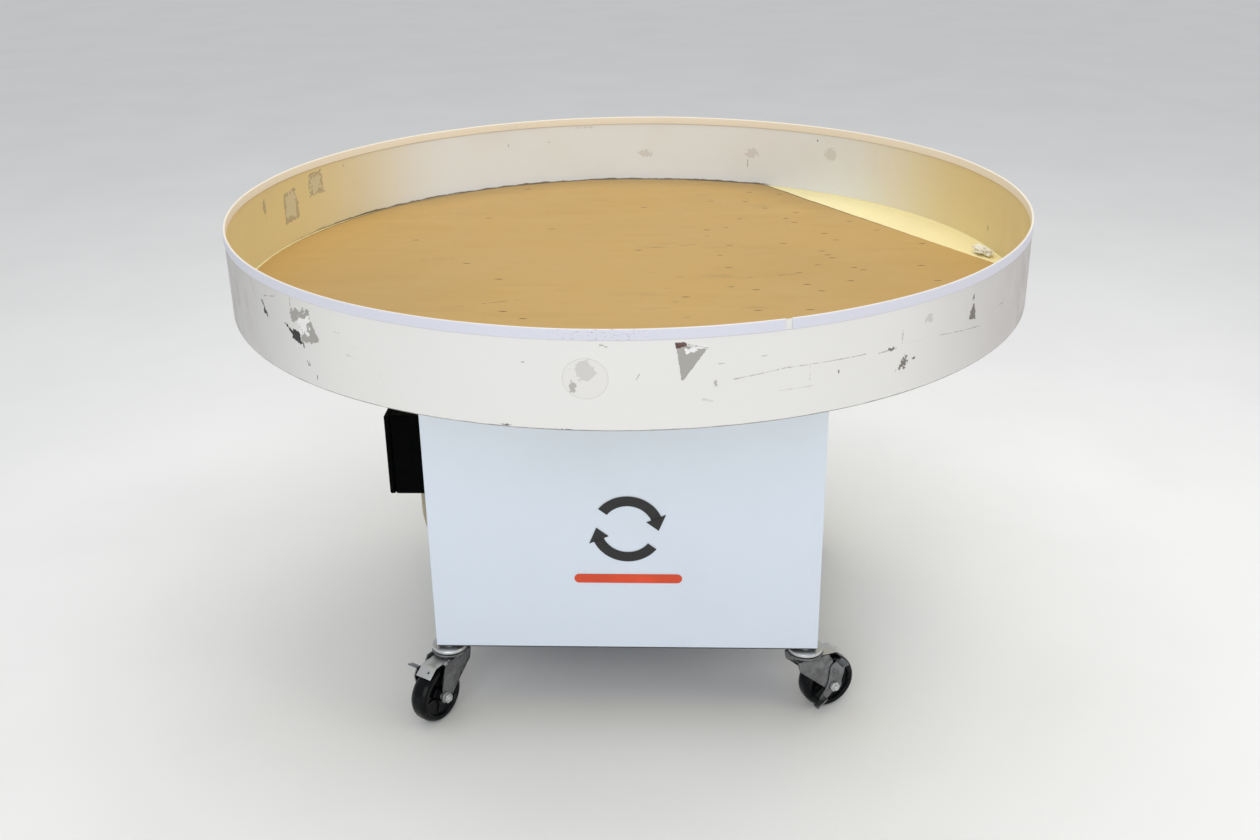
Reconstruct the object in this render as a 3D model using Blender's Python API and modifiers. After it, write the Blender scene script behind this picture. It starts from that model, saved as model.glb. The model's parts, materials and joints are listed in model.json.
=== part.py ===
"""Rotary packing turntable on four braked swivel casters.

A shallow round pan turns on a vertical shaft above a square sheet-metal
cabinet.  Inside the cabinet a worm gearbox and its motor hang under the top
plate.  A control box sits on the left side panel.  Units are metres, +Z is
up, the origin is on the floor under the deck shaft, and the front panel
faces -Y.
"""
import math

import bmesh
import bpy
from mathutils import Matrix, Vector

NAME = "packing_turntable"
GAP = 0.0003                 # clearance kept between touching pieces

# Deck: pan, trim, liner, spider
RIM_SEGMENTS = 72
TRIM_R = 0.7620              # outside of the trim, a 60 in deck
TRIM_SHEET = 0.0012
TRIM_HEIGHT = 0.0170
WALL_R = 0.7605
WALL_SHEET = 0.0020
WALL_BOTTOM = 0.7823
WALL_LIP = 0.0180            # folded lip under the deck plate
RIM_TOP = 0.9443
TRIM_JOIN_DEG = -69.73       # where the two trim ends nearly meet
TRIM_JOIN_GAP = 0.0110
DECK_SHEET = 0.0024
LINER_SHEET = 0.0031
LINER_R = 0.7520
LINER_CHORD = 0.6355         # distance of the straight edge from the shaft
LINER_CHORD_DEG = 33.5
LINER_ARC_STEPS = 64
ARM_WIDTH = 0.0500
ARM_LENGTH = 1.4000
ARM_BOTTOM = 0.7588
ARM_WALL = 0.0030
ARM_PLATE_R = 0.0800
ARM_PLATE = 0.0040

# Cabinet
HALF = 0.3676                # half of the square cabinet's width
SHEET = 0.0020
FOLD = 0.0180                # depth of a panel's folded edges
FOOT = 0.1480                # underside of the cabinet, caster height
PANEL_TOP = 0.7180
PLATE_BOTTOM = PANEL_TOP + GAP
PLATE_TOP = PLATE_BOTTOM + 0.0050
RAIL_HEIGHT = 0.0380
RAIL_SHEET = 0.0030
RAIL_WIDTH = 0.0350
CORNER_PLATE = 0.0800
CORNER_SHEET = 0.0080
POST_WIDTH = 0.0300

# Drive
SHAFT_R = 0.0150
SHAFT_BOTTOM = 0.6050
HUB_TOP = ARM_BOTTOM - GAP
HUB_FLANGE = 0.0065
HUB_R = 0.0750
HUB_BOSS_R = 0.0280
HUB_BOTTOM = 0.7458
WORM_Z = 0.6500
WORM_Y = 0.0420              # worm axis from the deck axis
MODULE = 0.0020
WHEEL_TEETH = 30
WORM_CORE_R = 0.0098
THREAD_R = 0.0014
GEARBOX_LOW = (-0.052, -0.048, 0.6000)
GEARBOX_HIGH = (0.052, 0.070, PLATE_BOTTOM - GAP)
GEARBOX_WALL = 0.0060
MOTOR_R = 0.0560
MOTOR_START = 0.0523
MOTOR_END = 0.2300
FAN_COVER_END = 0.2850

# Control box on the left panel
BOX_LOW = (-0.4595, -0.2000, 0.3940)
BOX_HIGH = (-HALF - GAP, 0.0000, 0.5620)
BOX_WALL = 0.0030
LID_FACE = -0.4715
KNOB_Y = -0.0550
SWITCH_Y = -0.1450
CONTROLS_Z = 0.5050
ROCKER_TILT = math.radians(8.0)
GLAND_Y = -0.1500
LEAD_GLAND_X = -0.4151
MAINS_GLAND_X = -0.4416
LEAD_R = 0.0050
LEAD_BORE = LEAD_R + 0.0010
LEAD_ENTRY_Z = 0.2700

# Casters
CASTER_IN = 0.3461           # pivot distance from the cabinet's centre lines
WHEEL_R = 0.0555
WHEEL_WIDTH = 0.0380
LEAD = 0.0500                # pivot to axle
RACE_R = 0.0350
STEM_R = 0.0062
FORK_TOP = 0.1352
FORK_SEAT = 0.1262
FORK_INNER = 0.0240
FORK_SHEET = 0.0028
LEVER_SHEET = 0.0026
AXLE_R = 0.0055
HEADINGS_DEG = {"front_left": 238.0, "front_right": 27.0,
                "back_left": 205.0, "back_right": 328.0}
SIDES = {"front_left": (-1, -1), "front_right": (1, -1),
         "back_left": (-1, 1), "back_right": (1, 1)}


# ---------------------------------------------------------------- helpers

def clear_scene():
    """Remove every object, then make the two collections."""
    for obj in list(bpy.data.objects):
        bpy.data.objects.remove(obj, do_unlink=True)
    for title in (NAME, "cutters"):
        old = bpy.data.collections.get(title)
        if old:
            bpy.data.collections.remove(old)
        collection = bpy.data.collections.new(title)
        bpy.context.scene.collection.children.link(collection)


def material(name, colour, roughness, metallic=0.0):
    """A Principled material in one colour."""
    mat = bpy.data.materials.new(name)
    mat.use_nodes = True
    shader = mat.node_tree.nodes["Principled BSDF"]
    shader.inputs["Base Color"].default_value = (*colour, 1.0)
    shader.inputs["Roughness"].default_value = roughness
    shader.inputs["Metallic"].default_value = metallic
    return mat


def move_to(obj, title):
    """Keep an object in one collection only."""
    for collection in list(obj.users_collection):
        collection.objects.unlink(obj)
    bpy.data.collections[title].objects.link(obj)
    return obj


def part(obj, name, mat, smooth=True):
    """Name a finished piece, give it its material and its collection."""
    obj.name = name
    obj.data.name = name
    obj.data.materials.clear()
    obj.data.materials.append(mat)
    if smooth and obj.type == "MESH":
        obj.data.shade_smooth()
        obj.data.set_sharp_from_angle(angle=math.radians(35.0))
    return move_to(obj, NAME)


def guide(obj):
    """Mark an object as a cutter or a joined shape."""
    obj.hide_render = True
    obj.display_type = "WIRE"
    return move_to(obj, "cutters")


def mesh_object(name, bm):
    """An object from a bmesh, which is freed."""
    mesh = bpy.data.meshes.new(name)
    bm.to_mesh(mesh)
    bm.free()
    obj = bpy.data.objects.new(name, mesh)
    bpy.data.collections["cutters"].objects.link(obj)
    return obj


def box(low, high, name="box"):
    """A box between two corners, its origin at its centre."""
    low, high = Vector(low), Vector(high)
    size = high - low
    bm = bmesh.new()
    bmesh.ops.create_cube(bm, size=1.0, matrix=Matrix.Diagonal((*size, 1.0)))
    obj = mesh_object(name, bm)
    obj.location = (low + high) / 2.0
    return obj


def cylinder(radius, length, centre, axis="Z", segments=32, name="cylinder"):
    """A capped cylinder along a world axis."""
    bm = bmesh.new()
    turn = {"X": Matrix.Rotation(math.pi / 2, 4, "Y"),
            "Y": Matrix.Rotation(math.pi / 2, 4, "X"),
            "Z": Matrix.Identity(4)}[axis]
    bmesh.ops.create_cone(bm, cap_ends=True, segments=segments, radius1=radius,
                          radius2=radius, depth=length, matrix=turn)
    obj = mesh_object(name, bm)
    obj.location = centre
    return obj


def turned(profile, segments, name="turned", closed=False):
    """A solid of revolution about Z; the profile runs down its outer side."""
    bm = bmesh.new()
    verts = [bm.verts.new((radius, 0.0, z)) for radius, z in profile]
    pairs = list(zip(verts, verts[1:]))
    if closed:
        pairs.append((verts[-1], verts[0]))
    for first, second in pairs:
        bm.edges.new((first, second))
    obj = mesh_object(name, bm)
    screw = obj.modifiers.new("turn", "SCREW")
    screw.steps = segments
    screw.render_steps = segments
    screw.use_merge_vertices = True
    screw.merge_threshold = 0.00001
    return obj


def ring(outer, inner, low, high, segments, name="ring"):
    """A plain ring about Z."""
    profile = [(outer, high), (outer, low), (inner, low), (inner, high)]
    return turned(profile, segments, name, closed=True)


def flat(points, thickness, name="flat", holes=()):
    """A flat plate in XY from an outline, centred on z = 0."""
    curve = bpy.data.curves.new(name, "CURVE")
    curve.dimensions = "2D"
    curve.fill_mode = "BOTH"
    curve.extrude = thickness / 2.0
    for loop in (points, *holes):
        spline = curve.splines.new("POLY")
        spline.points.add(len(loop) - 1)
        for point, (x, y) in zip(spline.points, loop):
            point.co = (x, y, 0.0, 1.0)
        spline.use_cyclic_u = True
    obj = bpy.data.objects.new(name, curve)
    bpy.data.collections["cutters"].objects.link(obj)
    return as_mesh(obj)


def as_mesh(obj):
    """Replace an object by its evaluated, welded mesh, with its place in the mesh."""
    bpy.context.view_layer.update()
    graph = bpy.context.evaluated_depsgraph_get()
    mesh = bpy.data.meshes.new_from_object(obj.evaluated_get(graph))
    mesh.transform(obj.matrix_world)
    bm = bmesh.new()
    bm.from_mesh(mesh)
    bmesh.ops.remove_doubles(bm, verts=bm.verts, dist=0.000005)
    bmesh.ops.recalc_face_normals(bm, faces=bm.faces)
    bm.to_mesh(mesh)
    bm.free()
    new = bpy.data.objects.new(obj.name, mesh)
    bpy.data.collections["cutters"].objects.link(new)
    bpy.data.objects.remove(obj, do_unlink=True)
    return new


def arc(centre, radius, start_deg, end_deg, steps):
    """Points along an arc, both ends included."""
    points = []
    for step in range(steps + 1):
        angle = math.radians(start_deg + (end_deg - start_deg) * step / steps)
        points.append((centre[0] + radius * math.cos(angle),
                       centre[1] + radius * math.sin(angle)))
    return points


def boolean(obj, other, operation):
    """Join or cut with another object, which becomes a guide."""
    modifier = obj.modifiers.new(operation.lower(), "BOOLEAN")
    modifier.operation = operation
    modifier.solver = "EXACT"
    modifier.object = guide(other)
    return obj


def cut(obj, *cutters):
    """Take the cutters away from an object."""
    for cutter in cutters:
        boolean(obj, cutter, "DIFFERENCE")
    return obj


def join(obj, *others):
    """Unite the others with an object."""
    for other in others:
        boolean(obj, other, "UNION")
    return obj


def bevel(obj, width, segments=1):
    """Round or chamfer the sharp edges."""
    modifier = obj.modifiers.new("edges", "BEVEL")
    modifier.width = width
    modifier.segments = segments
    modifier.limit_method = "ANGLE"
    modifier.angle_limit = math.radians(40.0)
    return obj


def hexagon(across, thickness, centre, axis="Z"):
    """A hexagonal nut or bolt head."""
    return cylinder(across / math.sqrt(3.0), thickness, centre, axis, segments=6)


# ------------------------------------------------------------------- deck

def build_deck(mats):
    """Pan wall of two half rings, trim, liner and the spider that carries them."""
    wall_inner = WALL_R - WALL_SHEET
    wall_top = RIM_TOP - TRIM_SHEET - GAP
    lip_top = WALL_BOTTOM + WALL_SHEET
    profile = [(WALL_R, wall_top), (WALL_R, WALL_BOTTOM),
               (wall_inner - WALL_LIP, WALL_BOTTOM), (wall_inner - WALL_LIP, lip_top),
               (wall_inner, lip_top), (wall_inner, wall_top)]
    for name, sign in (("rim_wall_front", -1), ("rim_wall_back", 1)):
        wall = turned(profile, RIM_SEGMENTS, closed=True)
        near, far = sorted((-sign, sign * GAP / 2))
        part(cut(wall, box((-1, near, 0), (1, far, 1))), name, mats["wall"])

    trim_inner = wall_inner - GAP - TRIM_SHEET
    skirt = RIM_TOP - TRIM_HEIGHT
    web = RIM_TOP - TRIM_SHEET
    trim = turned([(TRIM_R, RIM_TOP), (TRIM_R, skirt), (TRIM_R - TRIM_SHEET, skirt),
                   (TRIM_R - TRIM_SHEET, web), (trim_inner + TRIM_SHEET, web),
                   (trim_inner + TRIM_SHEET, skirt), (trim_inner, skirt), (trim_inner, RIM_TOP)],
                  RIM_SEGMENTS, closed=True)
    angle = math.radians(TRIM_JOIN_DEG)
    notch = box((-0.02, -TRIM_JOIN_GAP / 2, -0.03), (0.02, TRIM_JOIN_GAP / 2, 0.03))
    notch.location = (TRIM_R * math.cos(angle), TRIM_R * math.sin(angle), RIM_TOP)
    notch.rotation_euler.z = angle
    part(cut(trim, notch), "rim_trim", mats["trim"])

    deck_bottom = lip_top + GAP
    deck_top = deck_bottom + DECK_SHEET
    plate = cylinder(wall_inner - 0.0005, DECK_SHEET, (0, 0, deck_bottom + DECK_SHEET / 2),
                     segments=RIM_SEGMENTS)
    part(plate, "deck_plate", mats["strip"])

    half = math.degrees(math.acos(LINER_CHORD / LINER_R))
    outline = arc((0, 0), LINER_R, LINER_CHORD_DEG + half,
                  LINER_CHORD_DEG + 360.0 - half, LINER_ARC_STEPS)
    liner = flat(outline, LINER_SHEET)
    liner.location.z = deck_top + GAP + LINER_SHEET / 2
    part(liner, "floor_liner", mats["liner"])

    part(build_spider(deck_bottom - GAP), "deck_spider", mats["steel"])


def build_spider(top):
    """Four channel arms, open below, on a round hub plate."""
    long, wide = ARM_LENGTH / 2, ARM_WIDTH / 2
    spider = box((-long, -wide, ARM_BOTTOM), (long, wide, top))
    join(spider, box((-wide, -long, ARM_BOTTOM), (wide, long, top)))
    inner, roof = wide - ARM_WALL, top - ARM_WALL
    below = ARM_BOTTOM - 0.01
    end = long - ARM_WALL
    cut(spider, box((-end, -inner, below), (end, inner, roof)),
        box((-inner, -end, below), (inner, end, roof)))
    join(spider, cylinder(ARM_PLATE_R, ARM_PLATE, (0, 0, ARM_BOTTOM + ARM_PLATE / 2)))
    return spider


# ---------------------------------------------------------------- cabinet

def folded_panel(low, high, axis, side, side_folds=True):
    """A sheet panel with folded edges, open on its inner face and below."""
    inner_low = [value + SHEET for value in low]
    inner_high = [value - SHEET for value in high]
    inner_low[2] = low[2] - 0.01
    if side > 0:
        inner_low[axis] = low[axis] - 0.01
    else:
        inner_high[axis] = high[axis] + 0.01
    if not side_folds:
        inner_low[1 - axis] = low[1 - axis] - 0.01
        inner_high[1 - axis] = high[1 - axis] + 0.01
    return cut(box(low, high), box(inner_low, inner_high))


def build_cabinet(mats):
    """Base frame, corner posts, four panels and the top plate."""
    outer = HALF - SHEET - GAP
    top = FOOT + RAIL_HEIGHT
    inner = outer - RAIL_SHEET
    opening = outer - RAIL_WIDTH
    frame = box((-outer, -outer, FOOT), (outer, outer, top))
    cut(frame, box((-inner, -inner, FOOT + RAIL_SHEET), (inner, inner, top + 0.01)),
        box((-opening, -opening, FOOT - 0.01), (opening, opening, top)))
    for sx, sy in SIDES.values():
        near, far = inner + RAIL_SHEET / 2, inner - CORNER_PLATE
        low = (min(sx * near, sx * far), min(sy * near, sy * far), FOOT)
        high = (max(sx * near, sx * far), max(sy * near, sy * far), FOOT + CORNER_SHEET)
        join(frame, box(low, high))
    for sx, sy in SIDES.values():
        cut(frame, cylinder(0.0066, 0.05, (sx * CASTER_IN, sy * CASTER_IN, FOOT), segments=16))
    part(frame, "base_frame", mats["frame"], smooth=False)

    for place, (sx, sy) in SIDES.items():
        part(build_post(sx, sy, inner - GAP), f"corner_post_{place}", mats["frame"], smooth=False)

    front = folded_panel((-HALF, -HALF, FOOT), (HALF, -HALF + FOLD, PANEL_TOP), 1, -1)
    part(front, "front_panel", mats["panel"], smooth=False)
    back = folded_panel((-HALF, HALF - FOLD, FOOT), (HALF, HALF, PANEL_TOP), 1, 1)
    part(back, "back_panel", mats["panel"], smooth=False)

    reach = HALF - FOLD - GAP
    left = folded_panel((-HALF, -reach, FOOT), (-HALF + FOLD, reach, PANEL_TOP), 0, -1, side_folds=False)
    cut(left, cylinder(0.0080, 0.02, (-HALF, GLAND_Y, LEAD_ENTRY_Z), "X", 16))
    part(left, "left_panel", mats["panel"], smooth=False)
    right = folded_panel((HALF - FOLD, -reach, FOOT), (HALF, reach, PANEL_TOP), 0, 1, side_folds=False)
    part(right, "right_panel", mats["panel"], smooth=False)

    plate = box((-HALF, -HALF, PLATE_BOTTOM), (HALF, HALF, PLATE_TOP))
    cut(plate, cylinder(0.0200, 0.05, (0, 0, PLATE_TOP)))
    part(plate, "top_plate", mats["frame"], smooth=False)


def build_post(sx, sy, outer):
    """An angle-iron post in one corner of the frame."""
    inner = outer - RAIL_SHEET
    low_z, high_z = FOOT + CORNER_SHEET + GAP, PANEL_TOP - SHEET - GAP
    shape = []
    for x_face, y_face in ((outer - POST_WIDTH, inner), (inner, outer - POST_WIDTH)):
        xs = sorted((sx * x_face, sx * outer))
        ys = sorted((sy * y_face, sy * outer))
        shape.append(box((xs[0], ys[0], low_z), (xs[1], ys[1], high_z)))
    return join(shape[0], shape[1])


# ------------------------------------------------------------------ drive

def build_drive(mats):
    """Shaft, hub, bearing, worm gear, gearbox and motor."""
    chamfer = 0.0010
    shaft_top = HUB_TOP - 0.0015
    shaft = turned([(0.0, shaft_top), (SHAFT_R - chamfer, shaft_top),
                    (SHAFT_R, shaft_top - chamfer), (SHAFT_R, SHAFT_BOTTOM + chamfer),
                    (SHAFT_R - chamfer, SHAFT_BOTTOM), (0.0, SHAFT_BOTTOM)], 24)
    part(shaft, "drive_shaft", mats["steel"])

    bore = SHAFT_R + 0.0005
    step = HUB_TOP - HUB_FLANGE
    hub = turned([(bore, HUB_TOP), (HUB_R, HUB_TOP), (HUB_R, step), (HUB_BOSS_R, step),
                  (HUB_BOSS_R, HUB_BOTTOM), (bore, HUB_BOTTOM)], 24, closed=True)
    for turn in range(4):
        angle = math.radians(45 + 90 * turn)
        centre = (0.055 * math.cos(angle), 0.055 * math.sin(angle), step - 0.002)
        join(hub, hexagon(0.013, 0.006, centre))
    part(hub, "hub_flange", mats["cast"])

    seat = PLATE_TOP + GAP
    housing = box((-0.054, -0.054, seat), (0.054, 0.054, seat + 0.0100))
    join(housing, cylinder(0.0370, 0.0190, (0, 0, seat + 0.0095), segments=24))
    cut(housing, cylinder(0.0265, 0.06, (0, 0, seat), segments=24))
    for sx, sy in SIDES.values():
        join(housing, hexagon(0.013, 0.008, (sx * 0.041, sy * 0.041, seat + 0.0130)))
    part(housing, "bearing_housing", mats["cast"])
    part(ring(0.0259, bore, seat, HUB_BOTTOM - GAP, 24), "bearing_ring", mats["steel"])

    part(build_worm_wheel(bore), "worm_wheel", mats["brass"])
    part(build_worm(), "worm_shaft", mats["steel"])
    build_gearbox(mats)
    build_motor(mats)


def build_worm_wheel(bore):
    """A bronze wheel of straight teeth with clearance for the worm."""
    tip = MODULE * (WHEEL_TEETH / 2.0 + 0.85)
    root = MODULE * (WHEEL_TEETH / 2.0 - 1.15)
    pitch = math.tau / WHEEL_TEETH
    outline = []
    for tooth in range(WHEEL_TEETH):
        middle = math.pi / 2 + (tooth + 0.5) * pitch
        for radius, share in ((root, -0.28), (tip, -0.12), (tip, 0.12), (root, 0.28)):
            angle = middle + share * pitch
            outline.append((radius * math.cos(angle), radius * math.sin(angle)))
    wheel = flat(outline, 0.016, holes=[arc((0, 0), bore, 0, 345, 23)])
    wheel.location.z = WORM_Z
    return wheel


def build_worm():
    """The worm: a round thread wound on its shaft, along X."""
    turns, steps = 3, 10
    pitch = math.pi * MODULE
    curve = bpy.data.curves.new("thread", "CURVE")
    curve.dimensions = "3D"
    curve.bevel_depth = THREAD_R
    curve.bevel_resolution = 0
    curve.use_fill_caps = True
    spline = curve.splines.new("POLY")
    spline.points.add(turns * steps)
    radius = WORM_CORE_R + THREAD_R - 0.0004
    for index, point in enumerate(spline.points):
        angle = math.tau * (index / steps + 0.5)
        x = pitch * (index / steps - turns / 2.0)
        point.co = (x, -radius * math.cos(angle), radius * math.sin(angle), 1.0)
    thread = bpy.data.objects.new("thread", curve)
    bpy.data.collections["cutters"].objects.link(thread)
    thread = as_mesh(thread)
    core = cylinder(WORM_CORE_R, pitch * (turns + 1), (0, 0, 0), "X", 24)
    worm = cylinder(0.0080, 0.118, (0.018, 0, 0), "X", 24)
    join(worm, core, thread)
    worm = as_mesh(worm)
    worm.location = (0.0, WORM_Y, WORM_Z)
    return worm


def build_gearbox(mats):
    """Cast housing, open below, and its bottom cover."""
    low, high, wall = GEARBOX_LOW, GEARBOX_HIGH, GEARBOX_WALL
    housing = box(low, high)
    cut(housing, box((low[0] + wall, low[1] + wall, low[2] - 0.01),
                     (high[0] - wall, high[1] - wall, high[2] - wall)))
    cut(housing, cylinder(SHAFT_R + 0.0006, 0.05, (0, 0, high[2])),
        cylinder(0.0088, 0.03, (high[0], WORM_Y, WORM_Z), "X"))
    part(housing, "gearbox_housing", mats["cast"], smooth=False)
    cover = box((low[0], low[1], low[2] - GAP - 0.0060), (high[0], high[1], low[2] - GAP))
    middle_y = (low[1] + high[1]) / 2
    for sx, sy in SIDES.values():
        centre = (sx * 0.044, middle_y + sy * 0.051, low[2] - 0.0080)
        join(cover, hexagon(0.010, 0.006, centre))
    part(cover, "gearbox_cover", mats["cast"], smooth=False)


def build_motor(mats):
    """Motor case with its terminal box, and the fan cover."""
    length = MOTOR_END - MOTOR_START
    case = turned([(0.0, length), (MOTOR_R - 0.004, length), (MOTOR_R, length - 0.004),
                   (MOTOR_R, 0.016), (0.048, 0.010), (0.048, 0.0), (0.0095, 0.0),
                   (0.0095, 0.040), (0.0, 0.040)], 28)
    case.rotation_euler.y = math.pi / 2
    case.location = (MOTOR_START, WORM_Y, WORM_Z)
    case = as_mesh(case)
    join(case, box((0.110, -0.032, 0.625), (0.170, 0.010, 0.685)))
    part(case, "motor_case", mats["motor"])
    depth = FAN_COVER_END - MOTOR_END - GAP
    cover = turned([(0.0, depth), (MOTOR_R - 0.010, depth), (MOTOR_R + 0.002, depth - 0.012),
                    (MOTOR_R + 0.002, 0.0), (MOTOR_R, 0.0), (MOTOR_R, depth - 0.013),
                    (MOTOR_R - 0.011, depth - 0.002), (0.0, depth - 0.002)], 28)
    cover.rotation_euler.y = math.pi / 2
    cover.location = (MOTOR_END + GAP, WORM_Y, WORM_Z)
    part(as_mesh(cover), "fan_cover", mats["plastic"])


# ------------------------------------------------------------ control box

def build_controls(mats):
    """Enclosure, lid, board, knob, rocker switch, glands and motor lead."""
    low, high, wall = BOX_LOW, BOX_HIGH, BOX_WALL
    case = bevel(box(low, high), 0.0020, 2)
    cut(case, box((low[0] - 0.01, low[1] + wall, low[2] + wall),
                  (high[0] - wall, high[1] - wall, high[2] - wall)))
    for x in (LEAD_GLAND_X, MAINS_GLAND_X):
        cut(case, cylinder(0.0073, 0.02, (x, GLAND_Y, low[2]), segments=16))
    part(case, "control_box", mats["plastic"])

    lid = bevel(box((LID_FACE, low[1], low[2]), (low[0] - GAP, high[1], high[2])), 0.0020, 2)
    cut(lid, box((LID_FACE + wall, low[1] + wall, low[2] + wall),
                 (low[0] + 0.01, high[1] - wall, high[2] - wall)))
    cut(lid, cylinder(0.0037, 0.02, (LID_FACE, KNOB_Y, CONTROLS_Z), "X", 16),
        box((LID_FACE - 0.01, SWITCH_Y - 0.0103, CONTROLS_Z - 0.0153),
            (LID_FACE + 0.01, SWITCH_Y + 0.0103, CONTROLS_Z + 0.0153)))
    part(lid, "control_lid", mats["plastic"])

    board = box((-0.3760, -0.175, 0.415), (-0.3740, -0.025, 0.540))
    join(board, box((-0.4000, -0.165, 0.425), (-0.3745, -0.125, 0.460)),
         box((-0.3920, -0.070, 0.470), (-0.3745, -0.035, 0.525)),
         cylinder(0.0090, 0.0240, (-0.3870, -0.095, 0.440), "X", 20))
    part(board, "control_board", mats["board"], smooth=False)

    build_knob(mats)
    build_switch(mats)
    build_lead(mats)


def build_knob(mats):
    """Fluted speed knob with a pointer rib, its spindle through the lid."""
    knob = cylinder(0.0170, 0.0180, (0, 0, 0), "X", 32)
    for flute in range(8):
        angle = math.tau * (flute + 0.5) / 8
        centre = (-0.004, 0.0195 * math.sin(angle), 0.0195 * math.cos(angle))
        cut(knob, cylinder(0.0040, 0.0120, centre, "X", 10))
    join(knob, box((-0.0105, -0.0012, 0.004), (-0.008, 0.0012, 0.0165)),
         cylinder(0.0030, 0.0240, (0.018, 0, 0), "X", 16))
    knob = as_mesh(knob)
    knob.location = (LID_FACE - 0.0095, KNOB_Y, CONTROLS_Z)
    part(knob, "speed_knob", mats["knob"])


def build_switch(mats):
    """Bezel in the lid, and the rocker that tips inside it."""
    y, z = SWITCH_Y, CONTROLS_Z
    front = LID_FACE - GAP
    bezel = box((front - 0.0020, y - 0.0125, z - 0.0175), (front, y + 0.0125, z + 0.0175))
    join(bezel, box((front - 0.0005, y - 0.0100, z - 0.0150), (front + 0.0110, y + 0.0100, z + 0.0150)))
    cut(bezel, box((front - 0.01, y - 0.0080, z - 0.0135), (front + 0.02, y + 0.0080, z + 0.0135)))
    part(bezel, "switch_bezel", mats["plastic"], smooth=False)
    rocker = box((-0.0060, -0.0076, -0.0120), (0.0060, 0.0076, 0.0120))
    cut(rocker, cylinder(0.0200, 0.03, (-0.0245, 0, 0), "Y", 24))
    rocker = as_mesh(rocker)
    rocker.data.transform(Matrix.Rotation(ROCKER_TILT, 4, "Y"))
    rocker.location = (front + 0.0010, y, z)
    part(rocker, "power_switch", mats["knob"])


def gland(x, mat, name, bore):
    """A cord grip: locknut inside the box, hexagon and cap below it."""
    low = BOX_LOW[2]
    body = cylinder(0.0068, 0.0220, (x, GLAND_Y, low - 0.0010), segments=16)
    join(body, hexagon(0.0185, 0.0060, (x, GLAND_Y, low - GAP - 0.0030)),
         cylinder(0.0078, 0.0120, (x, GLAND_Y, low - 0.0110), segments=16))
    cut(body, cylinder(bore, 0.08, (x, GLAND_Y, low), segments=16))
    return part(body, name, mat)


def build_lead(mats):
    """Motor lead from the control box, through the left panel to the motor."""
    gland(LEAD_GLAND_X, mats["gland"], "lead_gland", LEAD_BORE)
    gland(MAINS_GLAND_X, mats["gland"], "mains_gland", 0.0035)
    nut = ring(0.0115, LEAD_BORE, 0.0, 0.0090, 16)
    nut.rotation_euler.y = -math.pi / 2
    nut.location = (-HALF - GAP, GLAND_Y, LEAD_ENTRY_Z)
    part(as_mesh(nut), "side_gland", mats["gland"])

    route = [(LEAD_GLAND_X, GLAND_Y, 0.400), (LEAD_GLAND_X, GLAND_Y, 0.360),
             (-0.4145, GLAND_Y, 0.325), (-0.4060, GLAND_Y, 0.289), (-0.3860, GLAND_Y, 0.2710),
             (-HALF, GLAND_Y, LEAD_ENTRY_Z), (-0.3300, GLAND_Y, LEAD_ENTRY_Z),
             (-0.2300, -0.1480, 0.3000), (-0.1100, -0.1350, 0.4300), (0.0100, -0.1200, 0.5700),
             (0.0900, -0.1000, 0.6350), (0.1350, -0.0700, 0.6540), (0.1400, -0.0323, 0.6550)]
    curve = bpy.data.curves.new("lead", "CURVE")
    curve.dimensions = "3D"
    curve.bevel_depth = LEAD_R
    curve.bevel_resolution = 2
    curve.use_fill_caps = True
    points = smooth_route(route, 3)
    spline = curve.splines.new("POLY")
    spline.points.add(len(points) - 1)
    for point, place in zip(spline.points, points):
        point.co = (*place, 1.0)
    lead = bpy.data.objects.new("lead", curve)
    bpy.data.collections["cutters"].objects.link(lead)
    part(as_mesh(lead), "motor_lead", mats["lead"])


def smooth_route(route, steps):
    """Points along a Catmull-Rom curve through the route."""
    points = [Vector(place) for place in route]
    padded = [2 * points[0] - points[1], *points, 2 * points[-1] - points[-2]]
    curve = []
    for a, b, c, d in zip(padded, padded[1:], padded[2:], padded[3:]):
        for step in range(steps):
            t = step / steps
            curve.append(0.5 * (2 * b + (c - a) * t + (2 * a - 5 * b + 4 * c - d) * t ** 2
                                + (3 * b - a - 3 * c + d) * t ** 3))
    curve.append(points[-1])
    return curve


# ---------------------------------------------------------------- casters

def upright(outline, low_y, high_y, holes=()):
    """A plate standing in XZ between two y values, from an (x, z) outline."""
    plate = flat(outline, high_y - low_y, holes=holes)
    plate.data.transform(Matrix.Rotation(math.pi / 2, 4, "X"))
    plate.data.transform(Matrix.Translation((0.0, (low_y + high_y) / 2, 0.0)))
    return plate


def stem_pattern():
    """Fixed half: threaded stem with its nut, and the upper race cup."""
    nut = FOOT + CORNER_SHEET + GAP
    return turned([(0.0, nut + 0.018), (STEM_R, nut + 0.018), (STEM_R, nut + 0.0100),
                   (0.0105, nut + 0.0100), (0.0105, nut), (STEM_R, nut), (STEM_R, FOOT - GAP),
                   (0.0140, FOOT - GAP), (0.0140, 0.1440), (0.0320, 0.1440),
                   (RACE_R - 0.0005, 0.1415), (RACE_R - 0.0005, FORK_TOP + GAP),
                   (0.0, FORK_TOP + GAP)], 20)


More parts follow.
